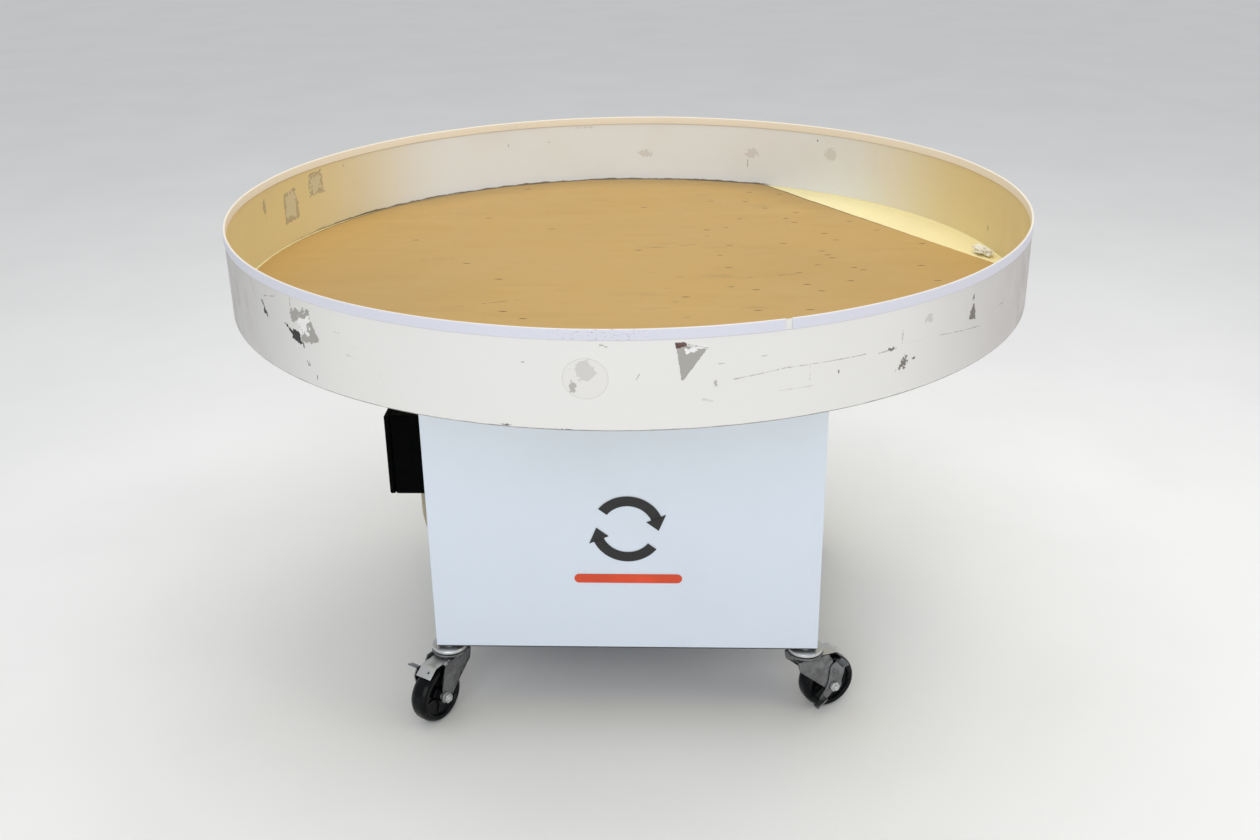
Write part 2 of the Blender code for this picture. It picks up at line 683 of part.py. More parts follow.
def fork_pattern():
    """Lower race cup with two tapering legs, along +X from the pivot."""
    cup = turned([(0.0, FORK_TOP), (RACE_R - 0.0020, FORK_TOP), (RACE_R, FORK_TOP - 0.0016),
                  (RACE_R, FORK_SEAT + 0.0040), (0.0325, FORK_SEAT), (0.0, FORK_SEAT)], 24)
    boss = 0.0125
    outline = [(0.0380, FORK_SEAT + 0.0010), (-0.0300, FORK_SEAT + 0.0010), (-0.0280, 0.1120)]
    outline += arc((LEAD, WHEEL_R), boss, 215, 395, 7)
    outline += [(0.0520, 0.1000)]
    axle_hole = arc((LEAD, WHEEL_R), AXLE_R + 0.0004, 0, 330, 11)
    for side in (-1, 1):
        faces = sorted((side * FORK_INNER, side * (FORK_INNER + FORK_SHEET)))
        join(cup, upright(outline, *faces, holes=[axle_hole]))
    join(cup, box((-0.0290, -FORK_INNER - 0.001, FORK_SEAT - 0.0018),
                  (0.0250, FORK_INNER + 0.001, FORK_SEAT + 0.0012)))
    return cup


def wheel_pattern():
    """Moulded wheel with a crowned tread and a recessed web, along Y."""
    half, bore = WHEEL_WIDTH / 2, AXLE_R + 0.0005
    web, hub, rim = 0.0110, 0.0150, WHEEL_R - 0.0135
    side = [(bore, half), (hub, half), (hub + 0.0020, web), (rim - 0.0020, web),
            (rim, half), (WHEEL_R - 0.0040, half), (WHEEL_R, half - 0.0060)]
    profile = side + [(radius, -z) for radius, z in reversed(side)]
    wheel = turned(profile, 28, closed=True)
    wheel = as_mesh(wheel)
    wheel.data.transform(Matrix.Rotation(math.pi / 2, 4, "X"))
    return wheel


def axle_pattern():
    """Axle bolt with a hexagon at each end, along Y."""
    leg = FORK_INNER + FORK_SHEET
    lever_side = leg + GAP + LEVER_SHEET + 2 * GAP
    bolt = cylinder(AXLE_R, lever_side + leg + 0.0230,
                    (0, (leg - lever_side) / 2, 0), "Y", 14)
    join(bolt, hexagon(0.0180, 0.0075, (0, leg + GAP + 0.00375, 0), "Y"),
         hexagon(0.0180, 0.0075, (0, -lever_side - 0.00375, 0), "Y"))
    return as_mesh(bolt)


def leaf_pattern():
    """Brake leaf: a strip from the fork bent down over the tread."""
    thick, wide = 0.0020, 0.0175
    top = FORK_SEAT - 0.0018 - GAP
    flat_end, drop_end = (0.0620, top), (0.0820, top - 0.0160)
    slope = Vector((drop_end[0] - flat_end[0], drop_end[1] - flat_end[1])).normalized()
    under = Vector((slope.y, -slope.x)) * thick
    outline = [(0.0160, top), flat_end, drop_end,
               (drop_end[0] + under.x, drop_end[1] + under.y),
               (flat_end[0] - 0.0008, top - thick), (0.0160, top - thick)]
    leaf = upright(outline, -wide, wide)
    centre = ((flat_end[0] + drop_end[0]) / 2, 0.0, (flat_end[1] + drop_end[1]) / 2)
    return cut(leaf, cylinder(0.0026, 0.03, centre, "Z", 12))


def lever_pattern():
    """Side brake lever about the axle: plate, foot pedal and release tab."""
    near = -(FORK_INNER + FORK_SHEET + GAP)
    far = near - LEVER_SHEET
    outline = [(-0.0300, -0.0220), (-0.0220, -0.0350), (-0.0020, -0.0150)]
    outline += arc((0.003, 0.000), 0.0155, -60, 20, 4)
    outline += [(0.0235, 0.0300), (0.0255, 0.0420), (0.0170, 0.0560), (0.0060, 0.0560),
                (-0.0080, 0.0440), (-0.0120, 0.0120), (-0.0160, 0.0000)]
    plate = upright(outline, far, near, holes=[arc((0, 0), AXLE_R + 0.0004, 0, 330, 11)])
    pedal = box((-0.0140, -0.0130, -0.0013), (0.0140, 0.0130, 0.0013))
    pedal.rotation_euler.y = math.radians(-36.0)
    pedal.location = (-0.0310, far - 0.0110, -0.0325)
    tab = box((-0.0070, -0.0120, -0.0013), (0.0070, 0.0120, 0.0013))
    tab.rotation_euler.y = math.radians(-20.0)
    tab.location = (0.0115, far - 0.0100, 0.0548)
    rivet = cylinder(0.0042, 0.0040, (-0.0005, far - 0.0010, 0.0340), "Y", 16)
    join(plate, pedal, tab, rivet)
    return as_mesh(plate)


def build_casters(mats):
    """Four casters from shared meshes, each turned to its own heading."""
    patterns = {"stem": (stem_pattern(), mats["zinc"]), "fork": (fork_pattern(), mats["zinc"]),
                "wheel": (wheel_pattern(), mats["tyre"]), "axle": (axle_pattern(), mats["zinc"]),
                "brake_leaf": (leaf_pattern(), mats["zinc"]),
                "brake_lever": (lever_pattern(), mats["zinc"])}
    on_axle = ("wheel", "axle", "brake_lever")
    for kind, (pattern, mat) in patterns.items():
        settled = guide(as_mesh(pattern))
        for place, (sx, sy) in SIDES.items():
            heading = math.radians(HEADINGS_DEG[place])
            piece = bpy.data.objects.new(kind, settled.data)
            part(piece, f"caster_{place}_{kind}", mat)
            pivot = Vector((sx * CASTER_IN, sy * CASTER_IN, 0.0))
            if kind in on_axle:
                pivot += Vector((LEAD * math.cos(heading), LEAD * math.sin(heading), WHEEL_R))
            piece.location = pivot
            piece.rotation_euler.z = heading


def build_materials():
    """Every material of the turntable, by the piece it covers."""
    return {"wall": material("rim_paint", (0.80, 0.79, 0.75), 0.45),
            "trim": material("trim_white", (0.82, 0.84, 0.88), 0.35),
            "strip": material("deck_paint", (0.82, 0.78, 0.60), 0.40),
            "liner": material("hardboard", (0.58, 0.40, 0.15), 0.65),
            "panel": material("cabinet_white", (0.72, 0.77, 0.81), 0.40),
            "frame": material("frame_paint", (0.10, 0.10, 0.11), 0.50),
            "steel": material("plain_steel", (0.45, 0.45, 0.46), 0.35, 1.0),
            "cast": material("cast_iron", (0.22, 0.24, 0.26), 0.60, 0.6),
            "brass": material("gear_bronze", (0.62, 0.42, 0.18), 0.35, 1.0),
            "motor": material("motor_grey", (0.30, 0.33, 0.36), 0.50),
            "plastic": material("black_plastic", (0.015, 0.015, 0.016), 0.40),
            "knob": material("knob_grey", (0.35, 0.36, 0.37), 0.45),
            "board": material("board_green", (0.03, 0.22, 0.10), 0.45),
            "gland": material("gland_nickel", (0.60, 0.60, 0.62), 0.25, 1.0),
            "lead": material("lead_tan", (0.36, 0.31, 0.22), 0.55),
            "zinc": material("bright_zinc", (0.62, 0.63, 0.64), 0.30, 1.0),
            "tyre": material("black_tyre", (0.012, 0.012, 0.013), 0.25)}


def main():
    """Build the whole turntable."""
    clear_scene()
    mats = build_materials()
    build_deck(mats)
    build_cabinet(mats)
    build_drive(mats)
    build_controls(mats)
    build_casters(mats)


main()
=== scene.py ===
"""Studio scene of a rotary packing turntable.

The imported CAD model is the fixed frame.  Each sub-assembly below builds the
visible pieces around it: the turning deck, the sheet-metal cabinet, the drive,
the control box and the four braked casters.  Units are metres, +Z is up, and
the front panel faces -Y.
"""
import json
import logging
import math
from dataclasses import dataclass, field
from enum import Enum
from typing import Callable, Iterable, Sequence

import bmesh
import bpy
from mathutils import Matrix, Vector, noise


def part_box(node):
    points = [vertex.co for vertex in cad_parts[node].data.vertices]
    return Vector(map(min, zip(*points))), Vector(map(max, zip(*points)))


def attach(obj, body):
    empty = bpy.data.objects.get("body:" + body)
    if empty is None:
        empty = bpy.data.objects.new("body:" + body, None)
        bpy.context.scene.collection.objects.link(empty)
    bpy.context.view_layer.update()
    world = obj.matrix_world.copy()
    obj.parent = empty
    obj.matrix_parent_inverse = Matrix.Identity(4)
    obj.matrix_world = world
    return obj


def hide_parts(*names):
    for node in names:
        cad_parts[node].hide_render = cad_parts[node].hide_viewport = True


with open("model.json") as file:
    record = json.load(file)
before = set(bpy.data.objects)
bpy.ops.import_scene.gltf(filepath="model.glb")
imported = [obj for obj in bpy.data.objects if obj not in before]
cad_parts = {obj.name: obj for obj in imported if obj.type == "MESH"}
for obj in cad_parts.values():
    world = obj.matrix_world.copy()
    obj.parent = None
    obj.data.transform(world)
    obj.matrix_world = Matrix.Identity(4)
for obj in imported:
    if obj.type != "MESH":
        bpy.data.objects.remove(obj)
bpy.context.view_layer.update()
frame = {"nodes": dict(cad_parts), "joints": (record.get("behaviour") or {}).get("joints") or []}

SEAM_WAY = (0.8339, 0.5519)  # across the liner's straight edge, in plan

log = logging.getLogger("turntable")

Point = tuple[float, ...]
Socket = bpy.types.NodeSocket
Value = Socket | float


# ------------------------------------------------------------------ materials

class Graph:
    """A short hand on the node tree of one material."""

    def __init__(self, name: str) -> None:
        """Start a Principled material.

        Args:
            name: The material's name.
        """
        self.material = bpy.data.materials.new(name)
        self.material.use_nodes = True
        self.tree = self.material.node_tree
        self.shader = self.tree.nodes["Principled BSDF"]
        self._places: dict[str, Socket] = {}

    def node(self, kind: str, inputs: dict[int | str, object], **settings: object) -> bpy.types.Node:
        """Add a node.

        Args:
            kind: Blender's node type.
            inputs: Values or sockets by input name or index.
            settings: Attributes set on the node.

        Returns:
            The new node.
        """
        made = self.tree.nodes.new(kind)
        for key, value in settings.items():
            setattr(made, key, value)
        for key, value in inputs.items():
            self.feed(made.inputs[key], value)
        return made

    def feed(self, entry: Socket, value: object) -> None:
        """Link a socket to an input, or set the input's own value.

        Args:
            entry: The input socket.
            value: A socket, a number, or a tuple.
        """
        if isinstance(value, bpy.types.NodeSocket):
            self.tree.links.new(value, entry)
        elif entry.type == "RGBA" and len(value) == 3:
            entry.default_value = (*value, 1.0)
        else:
            entry.default_value = value

    def place(self, output: str = "Object") -> Socket:
        """The texture coordinate of that name, made once."""
        if output not in self._places:
            self._places[output] = self.node("ShaderNodeTexCoord", {}).outputs[output]
        return self._places[output]

    def math(self, operation: str, first: Value, second: Value = 0.0, third: Value = 0.0,
             clamp: bool = False) -> Socket:
        """One arithmetic step."""
        return self.node("ShaderNodeMath", {0: first, 1: second, 2: third},
                         operation=operation, use_clamp=clamp).outputs[0]

    def times(self, first: Value, *others: Value) -> Socket:
        """The product of several values."""
        for other in others:
            first = self.math("MULTIPLY", first, other)
        return first

    def plus(self, first: Value, *others: Value) -> Socket:
        """The sum of several values."""
        for other in others:
            first = self.math("ADD", first, other)
        return first

    def minus(self, first: Value, second: Value) -> Socket:
        """The first value less the second."""
        return self.math("SUBTRACT", first, second)

    def most(self, first: Value, second: Value) -> Socket:
        """The larger of two values."""
        return self.math("MAXIMUM", first, second)

    def axes(self) -> tuple[Socket, ...]:
        """The object's own X, Y and Z."""
        return tuple(self.node("ShaderNodeSeparateXYZ", {0: self.place()}).outputs)

    def point(self, x: Value, y: Value, z: Value = 0.0) -> Socket:
        """A point put together from its coordinates."""
        return self.node("ShaderNodeCombineXYZ", {0: x, 1: y, 2: z}).outputs[0]

    def along(self, spot: Socket, way: Point) -> Socket:
        """How far a point reaches along a direction."""
        return self.node("ShaderNodeVectorMath", {0: spot, 1: way},
                         operation="DOT_PRODUCT").outputs["Value"]

    def length(self, spot: Socket) -> Socket:
        """How far a point is from the origin."""
        return self.node("ShaderNodeVectorMath", {0: spot}, operation="LENGTH").outputs["Value"]

    def from_shaft(self, x: Socket, y: Socket) -> Socket:
        """Distance from the shaft in plan."""
        return self.math("SQRT", self.plus(self.times(x, x), self.times(y, y)))

    def span(self, value: Value, low: float, high: float, start: float = 0.0,
             end: float = 1.0) -> Socket:
        """A smooth step of value from low to high, clamped."""
        return self.node("ShaderNodeMapRange",
                         {"Value": value, "From Min": low, "From Max": high,
                          "To Min": start, "To Max": end},
                         interpolation_type="SMOOTHSTEP").outputs["Result"]

    def mix(self, share: Value, first: object, second: object, blend: str = "MIX") -> Socket:
        """Two colours mixed."""
        made = self.node("ShaderNodeMix", {}, data_type="RGBA", blend_type=blend)
        self.feed(made.inputs[0], share)
        self.feed(made.inputs[6], first)
        self.feed(made.inputs[7], second)
        return made.outputs[2]

    def stretch(self, scale: Point, turn: float = 0.0) -> Socket:
        """Object coordinates scaled along each axis, turned about Z."""
        return self.node("ShaderNodeMapping",
                         {"Vector": self.place(), "Scale": scale, "Rotation": (0.0, 0.0, turn)}
                         ).outputs[0]

    def grain(self, scale: float, detail: float = 4.0, vector: Socket | None = None,
              roughness: float = 0.55) -> Socket:
        """Fractal noise from 0 to 1.

        Args:
            scale: Features per metre of the coordinates.
            detail: Octaves.
            vector: Coordinates, the object's own when left out.
            roughness: How strong the finer octaves are.

        Returns:
            The noise value.
        """
        made = self.node("ShaderNodeTexNoise",
                         {"Vector": vector or self.place(), "Scale": scale, "Detail": detail,
                          "Roughness": roughness})
        return made.outputs["Fac"]

    def cells(self, scale: float, vector: Socket | None = None, flat: bool = False) -> Socket:
        """Distance to the nearest cell point, in X and Y only when flat."""
        made = self.node("ShaderNodeTexVoronoi", {"Vector": vector or self.place(), "Scale": scale},
                         voronoi_dimensions="2D" if flat else "3D")
        return made.outputs["Distance"]

    def relief(self, height: Socket, depth: float, below: Socket | None = None) -> Socket:
        """A bump normal, laid over another one if given.

        Args:
            height: Height from 0 to 1.
            depth: Depth of the relief in metres.
            below: A normal to add to.

        Returns:
            The normal.
        """
        inputs: dict[int | str, object] = {"Height": height, "Distance": depth, "Strength": 1.0}
        if below is not None:
            inputs["Normal"] = below
        return self.node("ShaderNodeBump", inputs).outputs["Normal"]

    def finish(self, **inputs: object) -> bpy.types.Material:
        """Feed the shader and give back the material.

        Args:
            inputs: Shader inputs, with underscores for spaces.

        Returns:
            The finished material.
        """
        for key, value in inputs.items():
            self.feed(self.shader.inputs[key.replace("_", " ")], value)
        return self.material


@dataclass(frozen=True)
class Finish:
    """A plain finish, and the base of the others."""

    name: str
    slot: str
    colour: Point
    roughness: float = 0.5
    metallic: float = 0.0

    def material(self) -> bpy.types.Material:
        """The material, made once."""
        return bpy.data.materials.get(self.name) or self.build()

    def build(self) -> bpy.types.Material:
        """Slightly uneven colour and gloss."""
        graph = Graph(self.name)
        cloud = graph.grain(14.0)
        dark = tuple(0.86 * value for value in self.colour)
        tone = graph.mix(graph.span(cloud, 0.35, 0.7), dark, self.colour)
        rough = graph.span(graph.grain(60.0), 0.3, 0.7, self.roughness - 0.06, self.roughness + 0.06)
        normal = graph.relief(graph.grain(900.0, 2.0), 0.00004)
        return graph.finish(Base_Color=tone, Roughness=rough, Metallic=self.metallic, Normal=normal)


@dataclass(frozen=True)
class Enamel(Finish):
    """Sprayed sheet metal: faint orange peel, soft grime and small specks."""

    grime: Point = (0.42, 0.38, 0.30)
    amount: float = 0.12
    specks: float = 0.5

    def build(self) -> bpy.types.Material:
        """Make the enamel."""
        graph = Graph(self.name)
        soft = graph.span(graph.grain(3.5, 5.0), 0.50, 0.80, 0.0, self.amount)
        tone = graph.mix(soft, self.colour, self.grime)
        streak = graph.grain(6.0, 6.0, graph.stretch((1.0, 1.0, 0.22)), 0.65)
        tone = graph.mix(graph.span(streak, 0.56, 0.78, 0.0, self.amount), tone, self.grime)
        near = graph.math("LESS_THAN", graph.cells(34.0), 0.030)
        rare = graph.math("GREATER_THAN", graph.grain(9.0, 2.0), 0.58)
        dots = graph.times(near, rare, self.specks)
        tone = graph.mix(dots, tone, (0.20, 0.16, 0.12))
        rough = graph.span(graph.grain(26.0), 0.3, 0.7, self.roughness - 0.07, self.roughness + 0.08)
        normal = graph.relief(graph.grain(420.0, 2.0), 0.00005)
        return graph.finish(Base_Color=tone, Roughness=rough, Normal=normal)


class Damage(Enum):
    """What shows where the wall is hurt: colour, strength, metallic share, depth."""

    BARE = ((0.41, 0.395, 0.365), 1.0, 0.35, 1.0)
    WORN = ((0.17, 0.145, 0.13), 0.95, 0.2, 0.9)
    DARK = ((0.004, 0.002, 0.002), 1.0, 0.0, 0.8)
    RUST = ((0.105, 0.045, 0.036), 0.95, 0.1, 0.9)
    SMUDGE = ((0.44, 0.41, 0.385), 0.42, 0.0, 0.0)
    FAINT = ((0.50, 0.47, 0.43), 0.42, 0.0, 0.0)
    LINE = ((0.30, 0.27, 0.25), 0.62, 0.0, 0.3)
    GHOST = ((0.785, 0.77, 0.735), 0.95, 0.0, 0.0)
    PALE = ((0.86, 0.85, 0.84), 1.0, 0.0, 0.4)
    PAPER = ((0.36, 0.31, 0.21), 0.72, 0.0, 0.0)
    CREAM = ((0.66, 0.58, 0.38), 0.85, 0.0, 0.0)


@dataclass(frozen=True)
class Mark:
    """One chip, smudge or scratch on the deck wall.

    The outline is convex and runs clockwise as seen, in metres: along the wall
    to the right of the angle, and up from the depth below the rim.  An outline
    of one pair is an oval's half width and half height.
    """

    angle: float
    depth: float
    outline: tuple[Point, ...]
    damage: Damage
    ragged: float = 0.002
    crumb: float = 150.0
    inside: bool = False


def oval(half_width: float, half_height: float) -> tuple[Point, ...]:
    """The outline of an oval mark."""
    return ((half_width, half_height),)


def bar(width: float, height: float, rise: float = 0.0) -> tuple[Point, ...]:
    """A long thin bar, its right end higher than its middle by rise."""
    w, h = width / 2.0, height / 2.0
    return ((-w, h - rise), (w, h + rise), (w, -h + rise), (-w, -h - rise))


FRONT_MARKS: tuple[Mark, ...] = (
    # torn label with bare metal near the middle of the front
    Mark(-81.2, 0.040, ((-0.0185, 0.0150), (0.0275, 0.0045), (-0.0070, -0.0425), (-0.0098, -0.0425)),
         Damage.BARE, 0.0010, 210.0),
    Mark(-81.2, 0.040, ((-0.0040, 0.0070), (0.0250, 0.0105), (0.0240, 0.0060), (-0.0020, -0.0010)),
         Damage.PALE, 0.0040, 140.0),
    Mark(-81.2, 0.040, ((-0.0200, 0.0178), (-0.0020, 0.0165), (-0.0020, 0.0110), (-0.0175, 0.0070)),
         Damage.RUST, 0.0018, 190.0),
    Mark(-80.1, 0.0305, bar(0.0300, 0.0014, -0.0036), Damage.LINE, 0.0008, 210.0),
    # ghost of a round sticker
    Mark(-92.57, 0.0776, oval(0.0345, 0.0325), Damage.FAINT, 0.0005, 60.0),
    Mark(-92.57, 0.0776, oval(0.0332, 0.0312), Damage.GHOST, 0.0005, 60.0),
    Mark(-92.70, 0.0660, oval(0.0165, 0.0145), Damage.SMUDGE, 0.0075, 90.0),
    Mark(-94.05, 0.0910, oval(0.0060, 0.0080), Damage.LINE, 0.0040, 160.0),
    # small ticks and rubs along the front
    Mark(-90.72, 0.0250, oval(0.0036, 0.0016), Damage.LINE, 0.0014, 240.0),
    Mark(-90.20, 0.0275, oval(0.0022, 0.0010), Damage.LINE, 0.0010, 260.0),
    Mark(-99.54, 0.0552, oval(0.0026, 0.0011), Damage.LINE, 0.0010, 260.0),
    Mark(-86.78, 0.0746, ((0.002, 0.004), (0.003, 0.004), (-0.002, -0.004), (-0.003, -0.004)),
         Damage.LINE, 0.0010, 260.0),
    Mark(-101.8, 0.1576, oval(0.0060, 0.0012), Damage.WORN, 0.0016, 260.0),
    Mark(-94.6, 0.1600, oval(0.0080, 0.0014), Damage.WORN, 0.0018, 260.0),
    Mark(-122.8, 0.0876, oval(0.0050, 0.0016), Damage.FAINT, 0.0016, 260.0),
    Mark(-124.5, 0.0541, oval(0.0070, 0.0012), Damage.FAINT, 0.0016, 260.0),
    Mark(-118.0, 0.1090, oval(0.0022, 0.0014), Damage.FAINT, 0.0014, 260.0),
)

LEFT_MARKS: tuple[Mark, ...] = (
    # torn label, bare triangle and black tape
    Mark(-131.3, 0.0470, ((-0.029, 0.005), (0.0276, 0.015), (0.0265, -0.012), (-0.022, -0.012)),
         Damage.BARE, 0.0075, 100.0),
    Mark(-129.4, 0.0700, ((0.000, 0.027), (0.022, -0.011), (-0.028, -0.022)), Damage.BARE, 0.0046, 120.0),
    Mark(-130.6, 0.0560, ((-0.018, 0.008), (0.016, 0.012), (0.010, -0.020), (-0.010, -0.014)),
         Damage.PALE, 0.0110, 110.0),
    Mark(-133.0, 0.0810, ((-0.026, 0.012), (-0.018, 0.012), (0.022, -0.011), (0.017, -0.016)),
         Damage.DARK, 0.0040, 150.0),
    Mark(-132.4, 0.0840, oval(0.0125, 0.0110), Damage.DARK, 0.0046, 190.0),
    Mark(-131.0, 0.0955, oval(0.0013, 0.0050), Damage.DARK, 0.0008, 200.0),
    Mark(-133.1, 0.0300, oval(0.0014, 0.0070), Damage.LINE, 0.0016, 200.0),
    Mark(-130.45, 0.1245, ((-0.003, 0.004), (-0.0018, 0.004), (0.0016, -0.004), (0.0004, -0.004)),
         Damage.DARK, 0.0005, 260.0),
    Mark(-130.15, 0.1245, oval(0.0008, 0.0040), Damage.DARK, 0.0005, 260.0),
    Mark(-128.9, 0.1430, oval(0.0009, 0.0040), Damage.DARK, 0.0006, 260.0),
    # slanting tape mark with rubs beside it
    Mark(-139.9, 0.0620, ((-0.0125, 0.013), (-0.0085, 0.013), (0.0125, -0.0125), (0.0070, -0.0115)),
         Damage.DARK, 0.0032, 190.0),
    Mark(-140.0, 0.0655, oval(0.0045, 0.0050), Damage.DARK, 0.0028, 190.0),
    Mark(-138.2, 0.0345, bar(0.0420, 0.0016, 0.0044), Damage.LINE, 0.0016, 160.0),
    Mark(-143.3, 0.0380, ((-0.009, 0.015), (-0.003, 0.015), (0.010, -0.013), (0.005, -0.014)),
         Damage.SMUDGE, 0.0034, 180.0),
    Mark(-146.5, 0.0720, oval(0.0070, 0.0200), Damage.FAINT, 0.0060, 110.0),
    Mark(-151.0, 0.0780, oval(0.0130, 0.0240), Damage.SMUDGE, 0.0080, 90.0),
)

RIGHT_MARKS: tuple[Mark, ...] = (
    Mark(-78.10, 0.0904, oval(0.0022, 0.0046), Damage.LINE, 0.0020, 260.0),
    Mark(-79.00, 0.1165, bar(0.0150, 0.0026, -0.0018), Damage.FAINT, 0.0020, 240.0),
    Mark(-73.00, 0.0820, bar(0.0820, 0.0012, 0.0044), Damage.LINE, 0.0013, 120.0),
    Mark(-64.40, 0.0780, bar(0.1460, 0.0010, -0.0005), Damage.LINE, 0.0011, 100.0),
    Mark(-56.20, 0.0815, bar(0.0370, 0.0012, 0.0008), Damage.LINE, 0.0014, 170.0),
    Mark(-55.70, 0.0800, oval(0.0060, 0.0022), Damage.WORN, 0.0030, 230.0),
    Mark(-54.05, 0.0640, oval(0.0009, 0.0090), Damage.LINE, 0.0009, 200.0),
    Mark(-53.60, 0.1080, ((0.001, 0.011), (0.006, 0.010), (0.003, -0.010), (-0.014, -0.012)),
         Damage.WORN, 0.0072, 230.0),
    Mark(-52.05, 0.1068, oval(0.0038, 0.0018), Damage.WORN, 0.0016, 220.0),
    Mark(-63.15, 0.0976, oval(0.0011, 0.0045), Damage.WORN, 0.0010, 240.0),
    Mark(-66.90, 0.0960, oval(0.0007, 0.0120), Damage.FAINT, 0.0010, 240.0),
    Mark(-68.50, 0.1130, bar(0.0560, 0.0011), Damage.FAINT, 0.0012, 140.0),
    Mark(-72.40, 0.0545, bar(0.0110, 0.0012), Damage.LINE, 0.0008, 200.0),
    Mark(-77.50, 0.0601, bar(0.0090, 0.0010), Damage.LINE, 0.0007, 200.0),
    Mark(-40.80, 0.0660, ((-0.001, 0.015), (0.003, 0.015), (0.011, -0.0145), (-0.011, -0.0105)),
         Damage.WORN, 0.0032, 170.0),
    Mark(-40.85, 0.0410, oval(0.0024, 0.0046), Damage.WORN, 0.0020, 200.0),
    Mark(-49.60, 0.0470, oval(0.0085, 0.0070), Damage.SMUDGE, 0.0048, 170.0),
    Mark(-43.00, 0.0900, bar(0.1180, 0.0012, -0.0076), Damage.LINE, 0.0012, 110.0),
    Mark(-32.75, 0.0810, bar(0.0170, 0.0022), Damage.LINE, 0.0018, 180.0),
    Mark(-24.00, 0.1300, oval(0.0120, 0.0300), Damage.SMUDGE, 0.0080, 80.0),
    Mark(-27.00, 0.0500, oval(0.0080, 0.0260), Damage.FAINT, 0.0070, 90.0),
)

INNER_MARKS: tuple[Mark, ...] = (
    # paper left by labels, darker round its edges
    Mark(171.7, 0.0510, oval(0.0060, 0.0170), Damage.PAPER, 0.0052, 150.0, True),
    Mark(163.2, 0.0770, ((-0.027, 0.030), (0.020, 0.036), (0.029, -0.032), (-0.030, -0.034)),
         Damage.PAPER, 0.0062, 120.0, True),
    Mark(163.3, 0.0760, ((-0.021, 0.024), (0.015, 0.029), (0.021, -0.022), (-0.022, -0.025)),
         Damage.CREAM, 0.0085, 95.0, True),
    Mark(156.2, 0.0490, ((-0.023, 0.023), (0.022, 0.024), (0.026, -0.024), (-0.022, -0.025)),
         Damage.PAPER, 0.0062, 120.0, True),
    Mark(156.2, 0.0500, ((-0.017, 0.016), (0.016, 0.017), (0.019, -0.016), (-0.016, -0.018)),
         Damage.CREAM, 0.0130, 120.0, True),
    Mark(148.9, 0.0316, oval(0.0022, 0.0016), Damage.PAPER, 0.0014, 240.0, True),
    Mark(114.7, 0.0546, oval(0.0020, 0.0028), Damage.LINE, 0.0016, 240.0, True),
    Mark(107.1, 0.0550, oval(0.0016, 0.0014), Damage.LINE, 0.0012, 240.0, True),
    Mark(99.9, 0.0237, oval(0.0180, 0.0020), Damage.FAINT, 0.0040, 150.0, True),
    Mark(89.1, 0.0898, oval(0.0140, 0.0070), Damage.FAINT, 0.0080, 130.0, True),
    Mark(68.9, 0.0790, oval(0.0150, 0.0120), Damage.FAINT, 0.0080, 130.0, True),
    Mark(69.7, 0.1040, oval(0.0012, 0.0110), Damage.LINE, 0.0010, 200.0, True),
    Mark(53.3, 0.0610, oval(0.0150, 0.0150), Damage.FAINT, 0.0085, 120.0, True),
    Mark(56.1, 0.0334, oval(0.0014, 0.0020), Damage.DARK, 0.0010, 200.0, True),
    Mark(13.4, 0.1190, oval(0.0030, 0.0080), Damage.PAPER, 0.0026, 180.0, True),
)


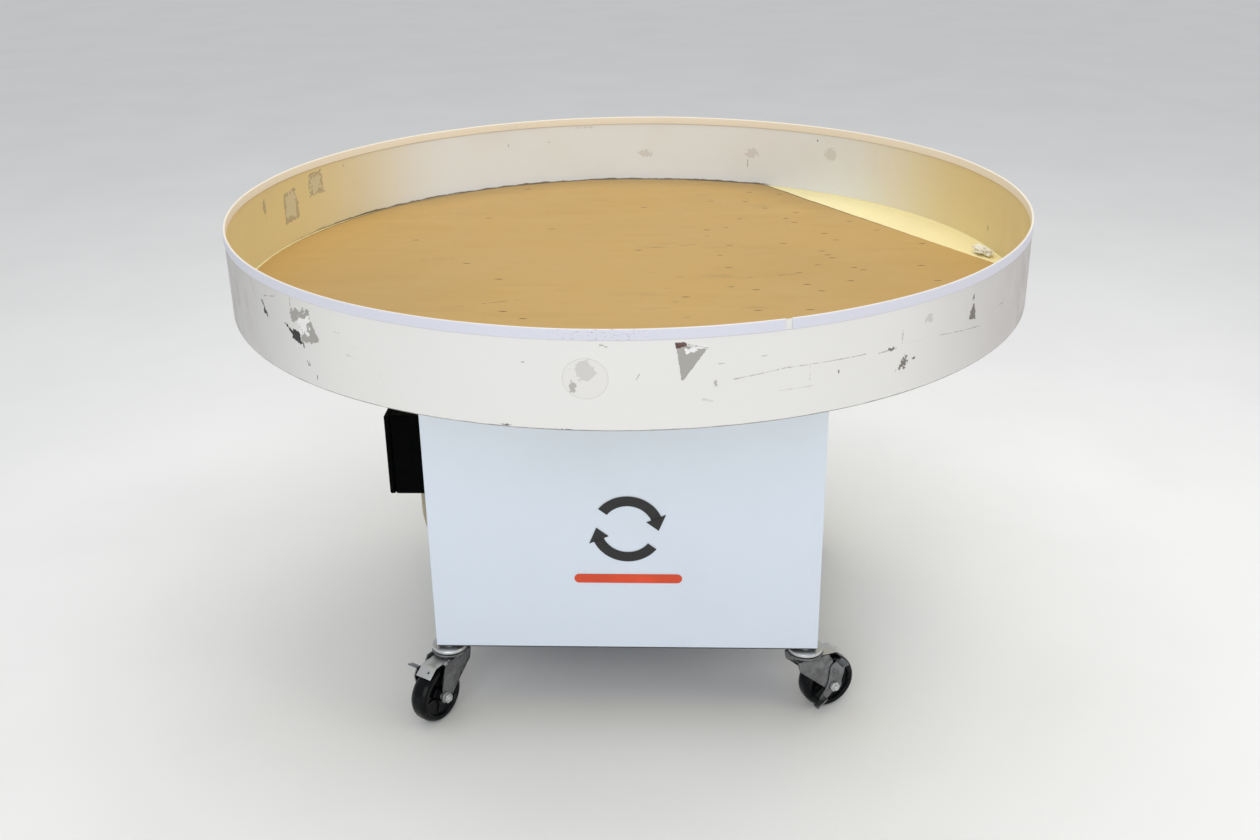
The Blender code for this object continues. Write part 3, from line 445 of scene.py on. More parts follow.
@dataclass(frozen=True)
class WallEnamel(Finish):
    """White enamel of the deck wall with its chips, rubs and label ghosts, painted shade at its far ends, a
    painted shade line under the trim and a painted bounce of the liner inside.
    """

    marks: tuple[Mark, ...] = FRONT_MARKS + LEFT_MARKS + RIGHT_MARKS + INNER_MARKS
    left_end_painted_shade: Point = (0.47, 0.455, 0.44)
    right_end_painted_shade: Point = (0.52, 0.49, 0.475)
    inner_back: Point = (0.80, 0.83, 0.85)
    inner_side_painted_bounce: Point = (0.74, 0.60, 0.29)
    rim_top: float = 0.9443
    radius: float = 0.7605
    middle: float = 0.7595

    def build(self) -> bpy.types.Material:
        """Make the enamel and lay every mark over it."""
        graph = Graph(self.name)
        x, y, z = graph.axes()
        angle = graph.math("ARCTAN2", y, x)
        around = graph.times(angle, self.radius)
        reach = graph.from_shaft(x, y)
        outside = graph.math("GREATER_THAN", reach, self.middle)
        inside = graph.minus(1.0, outside)

        cloud = graph.span(graph.grain(2.6, 5.0), 0.42, 0.78, 0.0, 0.14)
        tone = graph.mix(cloud, self.colour, (0.62, 0.59, 0.53))
        # Painted shade: the wall darkens towards its far left and right ends, where it turns away from the
        # lights.
        tone = graph.mix(graph.span(x, -0.40, -0.755, 0.0, 0.95), tone, self.left_end_painted_shade)
        tone = graph.mix(graph.span(x, 0.40, 0.755, 0.0, 0.95), tone, self.right_end_painted_shade)
        tone = self.worn_sides(graph, tone, x, z)
        tone = self.rub(graph, tone, around, z)
        # Painted bounce light on the inner face: bluish white at the back, turning to the liner's yellow
        # towards the sides, with random dirt over it.
        width = graph.math("ABSOLUTE", x)
        bounce = graph.mix(graph.span(width, 0.44, 0.74), self.inner_back, self.inner_side_painted_bounce)
        grubby = graph.span(graph.grain(4.0, 5.0), 0.45, 0.75, 0.0, 0.10)
        tone = graph.mix(inside, tone, graph.mix(grubby, bounce, (0.50, 0.42, 0.27)))
        tone = self.dark_lines_and_painted_shade(graph, tone, x, y, z, inside)

        depth: Value = 0.0
        metallic: Value = 0.0
        crumbs: dict[float, Socket] = {}
        for mark in self.marks:
            side = inside if mark.inside else outside
            share = self.patch(graph, mark, around, z, side, crumbs)
            colour, strength, metal, cut = mark.damage.value
            tone = graph.mix(graph.times(share, strength), tone, colour)
            if mark.damage is Damage.BARE:
                metallic = graph.most(metallic, graph.times(share, metal))
            elif mark.damage is Damage.PALE:
                metallic = graph.times(metallic, graph.minus(1.0, share))
            if cut and mark.damage is not Damage.PALE:
                depth = graph.most(depth, graph.times(share, cut))
        surface = graph.minus(1.0, depth)
        peel = graph.relief(graph.grain(380.0, 2.0), 0.00005)
        normal = graph.relief(surface, 0.00035, peel)
        rough = graph.span(graph.grain(18.0), 0.3, 0.7, self.roughness - 0.06, self.roughness + 0.10)
        return graph.finish(Base_Color=tone, Roughness=rough, Metallic=metallic, Normal=normal)

    def worn_sides(self, graph: Graph, tone: Socket, x: Socket, z: Socket) -> Socket:
        """Brownish upright rubs at the far left and right of the wall."""
        place = graph.point(x, graph.times(z, 0.30), 0.0)
        streak = graph.span(graph.grain(75.0, 4.0, place), 0.40, 0.66)
        reach = graph.span(graph.math("ABSOLUTE", x), 0.665, 0.755)
        share = graph.times(streak, reach, 0.70)
        return graph.mix(share, tone, (0.33, 0.285, 0.25))

    def dark_lines_and_painted_shade(self, graph: Graph, tone: Socket, x: Socket, y: Socket, z: Socket,
                   inside: Socket) -> Socket:
        """A thin dark line round the outer bend, a painted shade line under the trim, and a dark line where
        the liner meets the wall.

        Args:
            graph: The material's graph.
            tone: The colour so far.
            x: Distance to the right of the shaft.
            y: Distance from the shaft towards the back.
            z: Height.
            inside: 1 on the inner face.

        Returns:
            The colour with the lines and the painted shade.
        """
        wave = graph.math("MULTIPLY_ADD", graph.grain(38.0, 5.0), -0.0030, 0.0022)
        low = graph.span(graph.plus(z, wave), self.rim_top - 0.1584, self.rim_top - 0.1594)
        tone = graph.mix(graph.times(low, 0.80), tone, (0.17, 0.145, 0.13))
        # Painted shade: a soft grey line just under the trim's skirt, on both faces of the wall.
        below = graph.span(z, self.rim_top - 0.0192, self.rim_top - 0.0172)
        above = graph.span(z, self.rim_top - 0.0168, self.rim_top - 0.0172)
        tone = graph.mix(graph.times(below, above, 0.55), tone,
                         (0.36, 0.34, 0.37))
        # A dark brown line at the foot of the inner wall, where the liner meets it at the back.
        lump = graph.math("MULTIPLY_ADD", graph.grain(30.0, 5.0), -0.0100, 0.0048)
        seam = graph.span(graph.plus(z, lump), self.rim_top - 0.1512, self.rim_top - 0.1528)
        seam = graph.times(seam, inside, graph.span(y, 0.15, 0.45))
        across = graph.math("MULTIPLY_ADD", x, SEAM_WAY[0], graph.times(y, SEAM_WAY[1]))
        seam = graph.times(seam, graph.span(across, 0.650, 0.630))
        return graph.mix(graph.times(seam, 0.85), tone, (0.12, 0.075, 0.035))

    def rub(self, graph: Graph, tone: Socket, around: Socket, z: Socket) -> Socket:
        """Fine level scuffs that run along the wall.

        Args:
            graph: The material's graph.
            tone: The colour so far.
            around: Distance along the wall.
            z: Height.

        Returns:
            The colour with the scuffs.
        """
        place = graph.point(graph.times(around, 0.05), z, 0.3)
        lines = graph.span(graph.grain(190.0, 3.0, place, 0.5), 0.66, 0.74)
        few = graph.span(graph.grain(5.0, 3.0), 0.52, 0.66)
        share = graph.times(lines, few, 0.22)
        return graph.mix(share, tone, (0.42, 0.39, 0.35))

    def patch(self, graph: Graph, mark: Mark, around: Socket, z: Socket, side: Socket,
              crumbs: dict[float, Socket]) -> Socket:
        """How far a point lies inside a mark, from 0 to 1.

        Args:
            graph: The material's graph.
            mark: The mark.
            around: Distance along the wall.
            z: Height.
            side: 1 on the face of the wall that carries the mark.
            crumbs: Noises already made, by their scale.

        Returns:
            The mark's mask.
        """
        turn = -1.0 if mark.inside else 1.0
        middle = math.radians(mark.angle) * self.radius
        right = graph.times(graph.minus(around, middle), turn)
        up = graph.minus(z, self.rim_top - mark.depth)
        if len(mark.outline) == 1:
            far = self.beyond_oval(graph, right, up, *mark.outline[0])
        else:
            far = self.beyond_sides(graph, right, up, mark.outline)
        if mark.crumb not in crumbs:
            crumbs[mark.crumb] = graph.minus(graph.grain(mark.crumb, 4.0), 0.5)
        far = graph.math("MULTIPLY_ADD", crumbs[mark.crumb], mark.ragged * 4.0, far)
        return graph.times(graph.span(far, 0.0002, -0.0002), side)

    def beyond_oval(self, graph: Graph, right: Socket, up: Socket, width: float, height: float) -> Socket:
        """Distance outside an oval, negative inside it."""
        spot = graph.point(graph.math("DIVIDE", right, width), graph.math("DIVIDE", up, height))
        reach = graph.length(spot)
        small = min(width, height)
        return graph.math("MULTIPLY_ADD", reach, small, -small)

    def beyond_sides(self, graph: Graph, right: Socket, up: Socket, points: tuple[Point, ...]) -> Socket:
        """Distance outside a convex outline, negative inside it."""
        spot = graph.point(right, up, 1.0)
        far: Socket | None = None
        for start, end in zip(points, points[1:] + points[:1]):
            run = Vector((end[0] - start[0], end[1] - start[1])).normalized()
            out = (-run.y, run.x)
            line = (out[0], out[1], -(out[0] * start[0] + out[1] * start[1]))
            beyond = graph.along(spot, line)
            far = beyond if far is None else graph.most(far, beyond)
        return far


@dataclass(frozen=True)
class TrimVinyl(Finish):
    """Bluish white edge channel with grey scuffs and a painted warm highlight on its inner lip."""

    painted_lit_lip: Point = (0.86, 0.79, 0.66)

    def build(self) -> bpy.types.Material:
        """Make the vinyl."""
        graph = Graph(self.name)
        x, y, z = graph.axes()
        around = graph.times(graph.math("ARCTAN2", y, x), 0.762)
        place = graph.point(graph.times(around, 0.35), z, 0.0)
        tone = graph.mix(graph.span(graph.grain(5.0), 0.35, 0.7, 0.0, 0.5), self.colour,
                         (0.70, 0.71, 0.80))
        # Painted highlight: the channel's inner lip is tinted a warm lit cream.
        reach = graph.from_shaft(x, y)
        tone = graph.mix(graph.span(reach, 0.7612, 0.7598), tone, self.painted_lit_lip)
        scuff = graph.span(graph.grain(420.0, 4.0, place), 0.54, 0.68)
        where = graph.span(graph.grain(4.2, 3.0), 0.55, 0.72)
        front = graph.span(graph.math("ABSOLUTE", graph.plus(around, 1.205)), 0.11, 0.02)
        where = graph.most(where, front)
        share = graph.times(scuff, where, 0.55)
        tone = graph.mix(share, tone, (0.28, 0.26, 0.30))
        nick = graph.math("LESS_THAN", graph.cells(46.0), 0.045)
        nick = graph.times(nick, graph.span(graph.grain(7.0, 2.0), 0.50, 0.62))
        tone = graph.mix(graph.times(nick, 0.6), tone, (0.32, 0.26, 0.20))
        rough = graph.span(graph.grain(30.0), 0.3, 0.7, self.roughness - 0.05, self.roughness + 0.12)
        normal = graph.relief(graph.grain(260.0, 3.0, place), 0.00012)
        return graph.finish(Base_Color=tone, Roughness=rough, Normal=normal)


@dataclass(frozen=True)
class Hardboard(Finish):
    """Tan pressed board: fibres, soft rubs, dark nicks, scratches, dark edges and a painted shade along the
    back.
    """

    radius: float = 0.7520
    chord: float = 0.6355
    chord_angle: float = 33.5
    scratches: tuple[tuple[float, float, float, float], ...] = (
        (-0.10, -0.475, 0.10, -0.405), (-0.31, -0.215, -0.20, -0.175), (-0.02, -0.60, 0.16, -0.56),
        (0.20, -0.05, 0.33, -0.02), (0.03, 0.16, 0.16, 0.19), (-0.44, 0.08, -0.36, 0.085),
        (0.30, -0.42, 0.44, -0.40))

    def build(self) -> bpy.types.Material:
        """Make the board."""
        graph = Graph(self.name)
        x, y, _ = graph.axes()
        broad = graph.span(graph.grain(1.7, 4.0), 0.38, 0.68, 0.0, 0.55)
        tone = graph.mix(broad, self.colour, tuple(0.88 * value for value in self.colour))
        level = graph.stretch((0.16, 1.0, 1.0), 0.05)
        streak = graph.span(graph.grain(22.0, 7.0, level, 0.66), 0.52, 0.74, 0.0, 0.26)
        tone = graph.mix(streak, tone, (0.375, 0.235, 0.075))
        pale = graph.span(graph.grain(13.0, 6.0, level), 0.55, 0.74, 0.0, 0.24)
        tone = graph.mix(pale, tone, (0.62, 0.42, 0.155))
        smudge = graph.span(graph.grain(30.0, 5.0, graph.stretch((0.30, 1.0, 1.0))), 0.60, 0.74)
        middle = graph.span(graph.math("ABSOLUTE", graph.minus(x, 0.16)), 0.42, 0.05)
        tone = graph.mix(graph.times(smudge, middle, 0.36), tone,
                         (0.33, 0.22, 0.085))
        fibre = graph.grain(900.0, 3.0, graph.stretch((0.4, 1.0, 1.0)))
        tone = graph.mix(graph.span(fibre, 0.35, 0.68, 0.0, 0.16), tone, (0.36, 0.24, 0.09))
        tone = self.dark_edges_and_painted_shade(graph, tone, x, y)
        dents = graph.most(self.nicks(graph, x), self.cuts(graph, x, y))
        tone = graph.mix(graph.times(dents, 0.92), tone, (0.085, 0.042, 0.016))
        rough = graph.span(graph.grain(7.0), 0.3, 0.7, self.roughness - 0.10, self.roughness + 0.10)
        weave = graph.relief(fibre, 0.00006)
        normal = graph.relief(graph.minus(1.0, dents), 0.0006, weave)
        return graph.finish(Base_Color=tone, Roughness=rough, Normal=normal)

    def nicks(self, graph: Graph, x: Socket) -> Socket:
        """Short dark nicks, longer along X, thicker on the right half.

        Args:
            graph: The material's graph.
            x: Distance to the right of the shaft.

        Returns:
            Where the nicks are.
        """
        ragged = graph.node("ShaderNodeTexNoise", {"Vector": graph.place(), "Scale": 260.0}).outputs["Color"]
        many, few = (graph.node("ShaderNodeVectorMath",
                                {0: ragged, 1: (0.0016, 0.0022, 0.0),
                                 2: graph.stretch((squeeze, 1.0, 0.0), turn)},
                                operation="MULTIPLY_ADD").outputs["Vector"]
                     for squeeze, turn in ((0.22, 0.14), (0.24, -0.10)))
        short = graph.span(graph.cells(21.0, many, True), 0.040, 0.026)
        long = graph.span(graph.cells(8.0, few, True), 0.018, 0.011)
        side = graph.span(graph.math("MULTIPLY_ADD", graph.grain(2.6, 3.0), 0.9, x), 0.42, 0.70)
        return graph.most(graph.times(short, side), long)

    def cuts(self, graph: Graph, x: Socket, y: Socket) -> Socket:
        """Long thin knife cuts, broken along their length.

        Args:
            graph: The material's graph.
            x: Distance to the right of the shaft.
            y: Distance from the shaft towards the back.

        Returns:
            Where the cuts are.
        """
        broken = graph.span(graph.grain(60.0, 4.0), 0.47, 0.56)
        found: Value = 0.0
        for start_x, start_y, end_x, end_y in self.scratches:
            run = Vector((end_x - start_x, end_y - start_y))
            half, way = run.length / 2, run.normalized()
            spot = graph.point(graph.minus(x, (start_x + end_x) / 2), graph.minus(y, (start_y + end_y) / 2))
            along = graph.along(spot, (way.x, way.y, 0.0))
            aside = graph.along(spot, (-way.y, way.x, 0.0))
            near = graph.span(graph.math("ABSOLUTE", aside), 0.0016, 0.0006)
            within = graph.math("LESS_THAN", graph.math("ABSOLUTE", along), half)
            found = graph.most(found, graph.times(near, within))
        return graph.times(found, broken, 0.60)

    def dark_edges_and_painted_shade(self, graph: Graph, tone: Socket, x: Socket, y: Socket) -> Socket:
        """A dark line along the straight edge and the back of the board, and a painted shade band from the
        wall along the back.

        Args:
            graph: The material's graph.
            tone: The colour so far.
            x: Distance to the right of the shaft.
            y: Distance from the shaft towards the back.

        Returns:
            The colour with the dark line and the painted shade.
        """
        spot = graph.point(x, y)
        turn = math.radians(self.chord_angle)
        across = graph.along(spot, (math.cos(turn), math.sin(turn), 0.0))
        reach = graph.length(spot)
        straight = graph.minus(self.chord, across)
        edge = graph.math("MINIMUM", straight, graph.minus(self.radius, reach))
        back = graph.span(y, 0.10, 0.50)
        wave = graph.math("MULTIPLY_ADD", graph.grain(24.0, 4.0), 0.020, -0.010)
        # Painted shade: a broad brown band where the wall shades the back of the board.
        shade_band = graph.span(graph.plus(edge, wave), 0.095, 0.010, 0.0, 0.40)
        tone = graph.mix(graph.times(shade_band, graph.span(y, 0.30, 0.66)), tone,
                         (0.30, 0.205, 0.085))
        line = graph.span(graph.plus(edge, graph.times(wave, 0.25)), 0.0080, 0.0025, 0.0, 0.80)
        return graph.mix(graph.times(line, back), tone, (0.15, 0.095, 0.045))


@dataclass(frozen=True)
class Plated(Finish):
    """Bright zinc: clouded reflection, drawn scratches and dull spots."""

    def build(self) -> bpy.types.Material:
        """Make the plating."""
        graph = Graph(self.name)
        cloud = graph.grain(55.0, 5.0)
        tone = graph.mix(graph.span(cloud, 0.38, 0.68), self.colour, tuple(0.66 * v for v in self.colour))
        stain = graph.span(graph.grain(120.0, 4.0), 0.60, 0.74, 0.0, 0.65)
        tone = graph.mix(stain, tone, (0.23, 0.19, 0.14))
        rough = graph.span(graph.grain(90.0), 0.3, 0.7, self.roughness - 0.08, self.roughness + 0.22)
        brush = graph.grain(1500.0, 2.0, graph.stretch((0.15, 1.0, 1.0)))
        normal = graph.relief(brush, 0.00003, graph.relief(cloud, 0.0002))
        return graph.finish(Base_Color=tone, Roughness=rough, Metallic=self.metallic, Normal=normal)


@dataclass(frozen=True)
class Moulded(Finish):
    """Moulded plastic or rubber with a fine spark grain and pale dust."""

    dust: Point = (0.20, 0.19, 0.18)
    dusty: float = 0.10
    grain_depth: float = 0.00005
    glint: float = 0.5

    def build(self) -> bpy.types.Material:
        """Make the moulding."""
        graph = Graph(self.name)
        cloud = graph.span(graph.grain(22.0, 5.0), 0.46, 0.76, 0.0, self.dusty)
        tone = graph.mix(cloud, self.colour, self.dust)
        marks = graph.span(graph.grain(240.0, 3.0, graph.stretch((1.0, 0.2, 1.0))), 0.64, 0.72, 0.0,
                           self.dusty * 1.5)
        tone = graph.mix(marks, tone, self.dust)
        rough = graph.span(graph.grain(40.0), 0.3, 0.7, self.roughness - 0.06, self.roughness + 0.14)
        normal = graph.relief(graph.grain(1100.0, 2.0), self.grain_depth)
        return graph.finish(Base_Color=tone, Roughness=rough, Normal=normal, Specular_IOR_Level=self.glint)


class Paint:
    """Every finish of the turntable."""

    WALL = WallEnamel("wall_enamel", "rim_paint", (0.80, 0.79, 0.765), 0.40)
    TRIM = TrimVinyl("trim_vinyl", "trim_white", (0.70, 0.705, 0.785), 0.38)
    # Painted reflection: the deck floor is white enamel; its yellow stands in for light bounced off the
    # liner.
    FLOOR_PAINTED_BOUNCE = Enamel("deck_enamel_painted_bounce", "deck_paint", (0.90, 0.80, 0.44), 0.42)
    FILM = Finish("film_scrap", "deck_paint", (0.93, 0.90, 0.76), 0.30)
    LINER = Hardboard("liner_board", "hardboard", (0.525, 0.332, 0.103), 0.62)
    PANEL = Enamel("cabinet_enamel", "cabinet_white", (0.715, 0.79, 0.90), 0.38,
                   grime=(0.52, 0.54, 0.54), amount=0.10, specks=0.30)
    FRAME = Enamel("frame_enamel", "frame_paint", (0.010, 0.010, 0.013), 0.48,
                   grime=(0.05, 0.045, 0.04), amount=0.30, specks=0.0)
    STEEL = Plated("plain_steel", "plain_steel", (0.50, 0.50, 0.51), 0.34, 1.0)
    CAST = Finish("cast_enamel", "cast_iron", (0.13, 0.17, 0.20), 0.55)
    BRONZE = Plated("gear_bronze", "gear_bronze", (0.62, 0.40, 0.17), 0.34, 1.0)
    MOTOR = Enamel("motor_enamel", "motor_grey", (0.24, 0.27, 0.30), 0.46,
                   grime=(0.10, 0.10, 0.09), amount=0.30, specks=0.3)
    BLACK = Moulded("black_moulding", "black_plastic", (0.0007, 0.0008, 0.0010), 0.55,
                    dust=(0.012, 0.012, 0.012), dusty=0.05, glint=0.03)
    KNOB = Moulded("grey_moulding", "knob_grey", (0.30, 0.31, 0.32), 0.42)
    BOARD = Finish("board_mask", "board_green", (0.03, 0.20, 0.09), 0.40)
    NICKEL = Plated("gland_nickel", "gland_nickel", (0.66, 0.65, 0.64), 0.24, 1.0)
    JACKET = Moulded("lead_jacket", "lead_tan", (0.42, 0.37, 0.25), 0.50, dust=(0.20, 0.17, 0.12),
                     dusty=0.4)
    # Lit and shaded copies of one zinc: the bright one doubles as the painted highlight on caster edges, the
    # dark one is painted dark reflection on caster faces.
    ZINC = Plated("bright_zinc", "bright_zinc", (0.78, 0.81, 0.85), 0.20, 1.0)
    ZINC_PAINTED_DARK = Plated("zinc_painted_dark_reflection", "bright_zinc", (0.235, 0.240, 0.250), 0.27, 1.0)
    WHEEL = Moulded("wheel_black", "black_tyre", (0.0012, 0.0015, 0.0022), 0.17,
                    dust=(0.030, 0.038, 0.050), dusty=0.12, grain_depth=0.00003, glint=0.16)
    INK_BLACK = Finish("pictogram_black", "black_plastic", (0.012, 0.012, 0.013), 0.35)
    INK_ORANGE = Finish("pictogram_orange", "cabinet_white", (0.80, 0.075, 0.018), 0.35)


# -------------------------------------------------------------------- meshes

def shade(mesh: bpy.types.Mesh, degrees: float = 32.0) -> bpy.types.Mesh:
    """Shade a mesh smooth, with sharp edges above an angle."""
    mesh.shade_smooth()
    mesh.set_sharp_from_angle(angle=math.radians(degrees))
    return mesh


def from_bmesh(bm: bmesh.types.BMesh, name: str) -> bpy.types.Mesh:
    """Turn a bmesh into a mesh with outward faces, and free it."""
    bmesh.ops.recalc_face_normals(bm, faces=bm.faces)
    mesh = bpy.data.meshes.new(name)
    bm.to_mesh(mesh)
    bm.free()
    return mesh


def moved(mesh: bpy.types.Mesh, matrix: Matrix) -> bpy.types.Mesh:
    """Move a mesh's own points and give it back."""
    mesh.transform(matrix)
    return mesh


def lathe(profile: Sequence[Point], segments: int, closed: bool = False,
          start: float = 0.0, sweep: float = math.tau,
          wobble: Callable[[float], float] | None = None) -> bpy.types.Mesh:
    """A turned mesh about Z.

    Args:
        profile: Radius and height of each point; radius 0 closes the form.
        segments: Steps around.
        closed: True joins the profile's last point to its first.
        start: Angle where the sweep begins.
        sweep: Angle swept; a part turn gets end caps.
        wobble: Height added at an angle.

    Returns:
        The mesh.
    """
    bm = bmesh.new()
    whole = abs(sweep - math.tau) < 1e-6
    columns = segments if whole else segments + 1
    poles = {i: bm.verts.new((0.0, 0.0, z)) for i, (r, z) in enumerate(profile) if r < 1e-7}
    rows: list[list[bmesh.types.BMVert]] = []
    for column in range(columns):
        angle = start + sweep * column / segments
        lift = wobble(angle) if wobble else 0.0
        c, s = math.cos(angle), math.sin(angle)
        rows.append([poles.get(i) or bm.verts.new((r * c, r * s, z + lift))
                     for i, (r, z) in enumerate(profile)])
    count = len(profile)
    steps = count if closed else count - 1
    for column in range(columns if whole else segments):
        here, there = rows[column], rows[(column + 1) % columns]
        for i in range(steps):
            j = (i + 1) % count
            corners = list(dict.fromkeys((here[i], here[j], there[j], there[i])))
            if len(corners) > 2:
                bm.faces.new(corners)
    if closed and not whole:
        bm.faces.new(rows[0])
        bm.faces.new(rows[-1])
    return from_bmesh(bm, "lathe")


def rounded(mesh: bpy.types.Mesh, width: float, segments: int = 2,
            degrees: float = 35.0) -> bpy.types.Mesh:
    """Round the edges of a mesh that are sharper than an angle."""
    bm = bmesh.new()
    bm.from_mesh(mesh)
    limit = math.radians(degrees)
    sharp = [e for e in bm.edges if len(e.link_faces) == 2 and e.calc_face_angle(0.0) > limit]
    bmesh.ops.bevel(bm, geom=sharp, offset=width, offset_type="OFFSET", segments=segments,
                    profile=0.5, affect="EDGES", clamp_overlap=True)
    return from_bmesh(bm, mesh.name)


def shift(x: float, y: float, z: float) -> Matrix:
    """A move in metres."""
    return Matrix.Translation((x, y, z))


def spin(degrees: float, axis: str) -> Matrix:
    """A turn about one axis."""
    return Matrix.Rotation(math.radians(degrees), 4, axis)


def block(low: Point, high: Point, width: float = 0.001, segments: int = 2) -> bpy.types.Mesh:
    """A box between two corners with rounded edges."""
    low_corner, high_corner = Vector(low), Vector(high)
    bm = bmesh.new()
    size = high_corner - low_corner
    bmesh.ops.create_cube(bm, size=1.0, matrix=Matrix.Translation((low_corner + high_corner) / 2.0)
                          @ Matrix.Diagonal((*size, 1.0)))
    return rounded(from_bmesh(bm, "block"), width, segments)


def slab(outline: Sequence[Point], thickness: float, holes: Iterable[Sequence[Point]] = (),
         edge: float = 0.0004) -> bpy.types.Mesh:
    """A flat plate in XY centred on z = 0, with broken edges.

    Args:
        outline: Outer loop.
        thickness: Plate thickness.
        holes: Inner loops.
        edge: Width of the rounded edge.

    Returns:
        The mesh.
    """
    curve = bpy.data.curves.new("slab", "CURVE")
    curve.dimensions = "2D"
    curve.fill_mode = "BOTH"
    curve.extrude = thickness / 2.0
    for loop in (outline, *holes):
        spline = curve.splines.new("POLY")
        spline.points.add(len(loop) - 1)
        for point, (x, y) in zip(spline.points, loop):
            point.co = (x, y, 0.0, 1.0)
        spline.use_cyclic_u = True
    mesh = curve_mesh(curve)
    # Side faces take the piece's second finish; on the caster plates that paints a highlight along the sheet
    # edges, on the brake leaf a shade.
    for face in mesh.polygons:
        face.material_index = 1 if abs(face.normal.z) < 0.7 else 0
    return rounded(mesh, edge, 2, 60.0) if edge else mesh


def curve_mesh(curve: bpy.types.Curve) -> bpy.types.Mesh:
    """The welded mesh of a curve, which is removed."""
    holder = bpy.data.objects.new("curve", curve)
    bpy.context.scene.collection.objects.link(holder)
    bpy.context.view_layer.update()
    mesh = bpy.data.meshes.new_from_object(holder.evaluated_get(bpy.context.evaluated_depsgraph_get()))
    bpy.data.objects.remove(holder)
    bm = bmesh.new()
    bm.from_mesh(mesh)
    bmesh.ops.remove_doubles(bm, verts=bm.verts, dist=0.000005)
    bmesh.ops.dissolve_limit(bm, angle_limit=0.01, verts=bm.verts, edges=bm.edges)
    return from_bmesh(bm, "curve")


def tube(route: Sequence[Point], radius: float, sides: int = 16, per_span: int = 8) -> bpy.types.Mesh:
    """A round lead along a smooth curve through the route's points."""
    points = [Vector(place) for place in route]
    padded = [2 * points[0] - points[1], *points, 2 * points[-1] - points[-2]]
    line: list[Vector] = []
    for a, b, c, d in zip(padded, padded[1:], padded[2:], padded[3:]):
        for step in range(per_span):
            t = step / per_span
            line.append(0.5 * (2 * b + (c - a) * t + (2 * a - 5 * b + 4 * c - d) * t ** 2
                               + (3 * b - a - 3 * c + d) * t ** 3))
    line.append(points[-1])
    bm = bmesh.new()
    side = Vector((0.0, 1.0, 0.0))
    rings = []
    for index, place in enumerate(line):
        ahead = (line[min(index + 1, len(line) - 1)] - line[max(index - 1, 0)]).normalized()
        side = (side - ahead * side.dot(ahead)).normalized()
        up = ahead.cross(side)
        rings.append([bm.verts.new(place + radius * (math.cos(math.tau * k / sides) * side
                                                     + math.sin(math.tau * k / sides) * up))
                      for k in range(sides)])
    for here, there in zip(rings, rings[1:]):
        for k in range(sides):
            j = (k + 1) % sides
            bm.faces.new((here[k], here[j], there[j], there[k]))
    bm.faces.new(rings[0])
    bm.faces.new(rings[-1])
    return from_bmesh(bm, "tube")


def arc(centre: Point, radius: float, start: float, end: float, steps: int) -> list[Point]:
    """Points along an arc, angles in degrees, both ends included."""
    return [(centre[0] + radius * math.cos(math.radians(start + (end - start) * i / steps)),
             centre[1] + radius * math.sin(math.radians(start + (end - start) * i / steps)))
            for i in range(steps + 1)]


def hexagon(across: float, thickness: float, chamfer: float = 0.0008) -> bpy.types.Mesh:
    """A chamfered hexagonal nut about Z, its underside at z = 0."""
    corner = across / math.sqrt(3.0)
    profile = [(0.0, thickness), (across / 2 - chamfer, thickness), (corner, thickness - chamfer),
               (corner, chamfer * 0.5), (across / 2, 0.0), (0.0, 0.0)]
    mesh = lathe(profile, 6)
    return rounded(mesh, 0.0003, 2, 20.0)


def bright(mesh: bpy.types.Mesh) -> bpy.types.Mesh:
    """Give every face of a mesh the piece's second finish, the bright zinc of a painted highlight on the
    casters.
    """
    mesh.polygons.foreach_set("material_index", [1] * len(mesh.polygons))
    return mesh


def joined(*meshes: bpy.types.Mesh) -> bpy.types.Mesh:
    """Several meshes put in one, as loose shells."""
    bm = bmesh.new()
    for mesh in meshes:
        bm.from_mesh(mesh)
    return from_bmesh(bm, meshes[0].name)


def carved(mesh: bpy.types.Mesh, *others: tuple[bpy.types.Mesh, str]) -> bpy.types.Mesh:
    """A mesh after boolean steps.

    Args:
        mesh: The mesh to work on.
        others: Pairs of a mesh and UNION or DIFFERENCE.

    Returns:
        The evaluated mesh.
    """
    holder = bpy.data.objects.new("carved", mesh)
    bpy.context.scene.collection.objects.link(holder)
    tools = []
    for other, operation in others:
        tool = bpy.data.objects.new("tool", other)
        bpy.context.scene.collection.objects.link(tool)
        modifier = holder.modifiers.new("step", "BOOLEAN")
        modifier.operation = operation
        modifier.object = tool
        tools.append(tool)
    bpy.context.view_layer.update()
    made = bpy.data.meshes.new_from_object(holder.evaluated_get(bpy.context.evaluated_depsgraph_get()))
    for tool in (holder, *tools):
        bpy.data.objects.remove(tool)
    return made


def add_piece(name: str, mesh: bpy.types.Mesh, finish: Finish, body: str,
              replaces: Sequence[str] = (), matrix: Matrix | None = None,
              degrees: float = 32.0, edges: Finish | None = None) -> bpy.types.Object:
    """Put a finished mesh in the scene as one piece.

    Args:
        name: The piece's name.
        mesh: Its mesh.
        finish: Its finish.
        body: The CAD body it rides on.
        replaces: CAD nodes it stands for.
        matrix: Its place, when the mesh is in a local frame.
        degrees: Edges sharper than this stay sharp.
        edges: The finish of cut edges, the same as the rest when left out.

    Returns:
        The new object.
    """
    piece = bpy.data.objects.new(name, shade(mesh, degrees))
    mesh.name = name
    bpy.context.scene.collection.objects.link(piece)
    piece.data.materials.clear()
    piece.data.materials.append(finish.material())
    if edges:
        piece.data.materials.append(edges.material())
    else:
        mesh.polygons.foreach_set("material_index", [0] * len(mesh.polygons))
    if matrix is not None:
        piece.matrix_world = matrix
    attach(piece, body)
    if replaces:
        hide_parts(*replaces)
    log.info("%s rides on %s", name, body)
    return piece


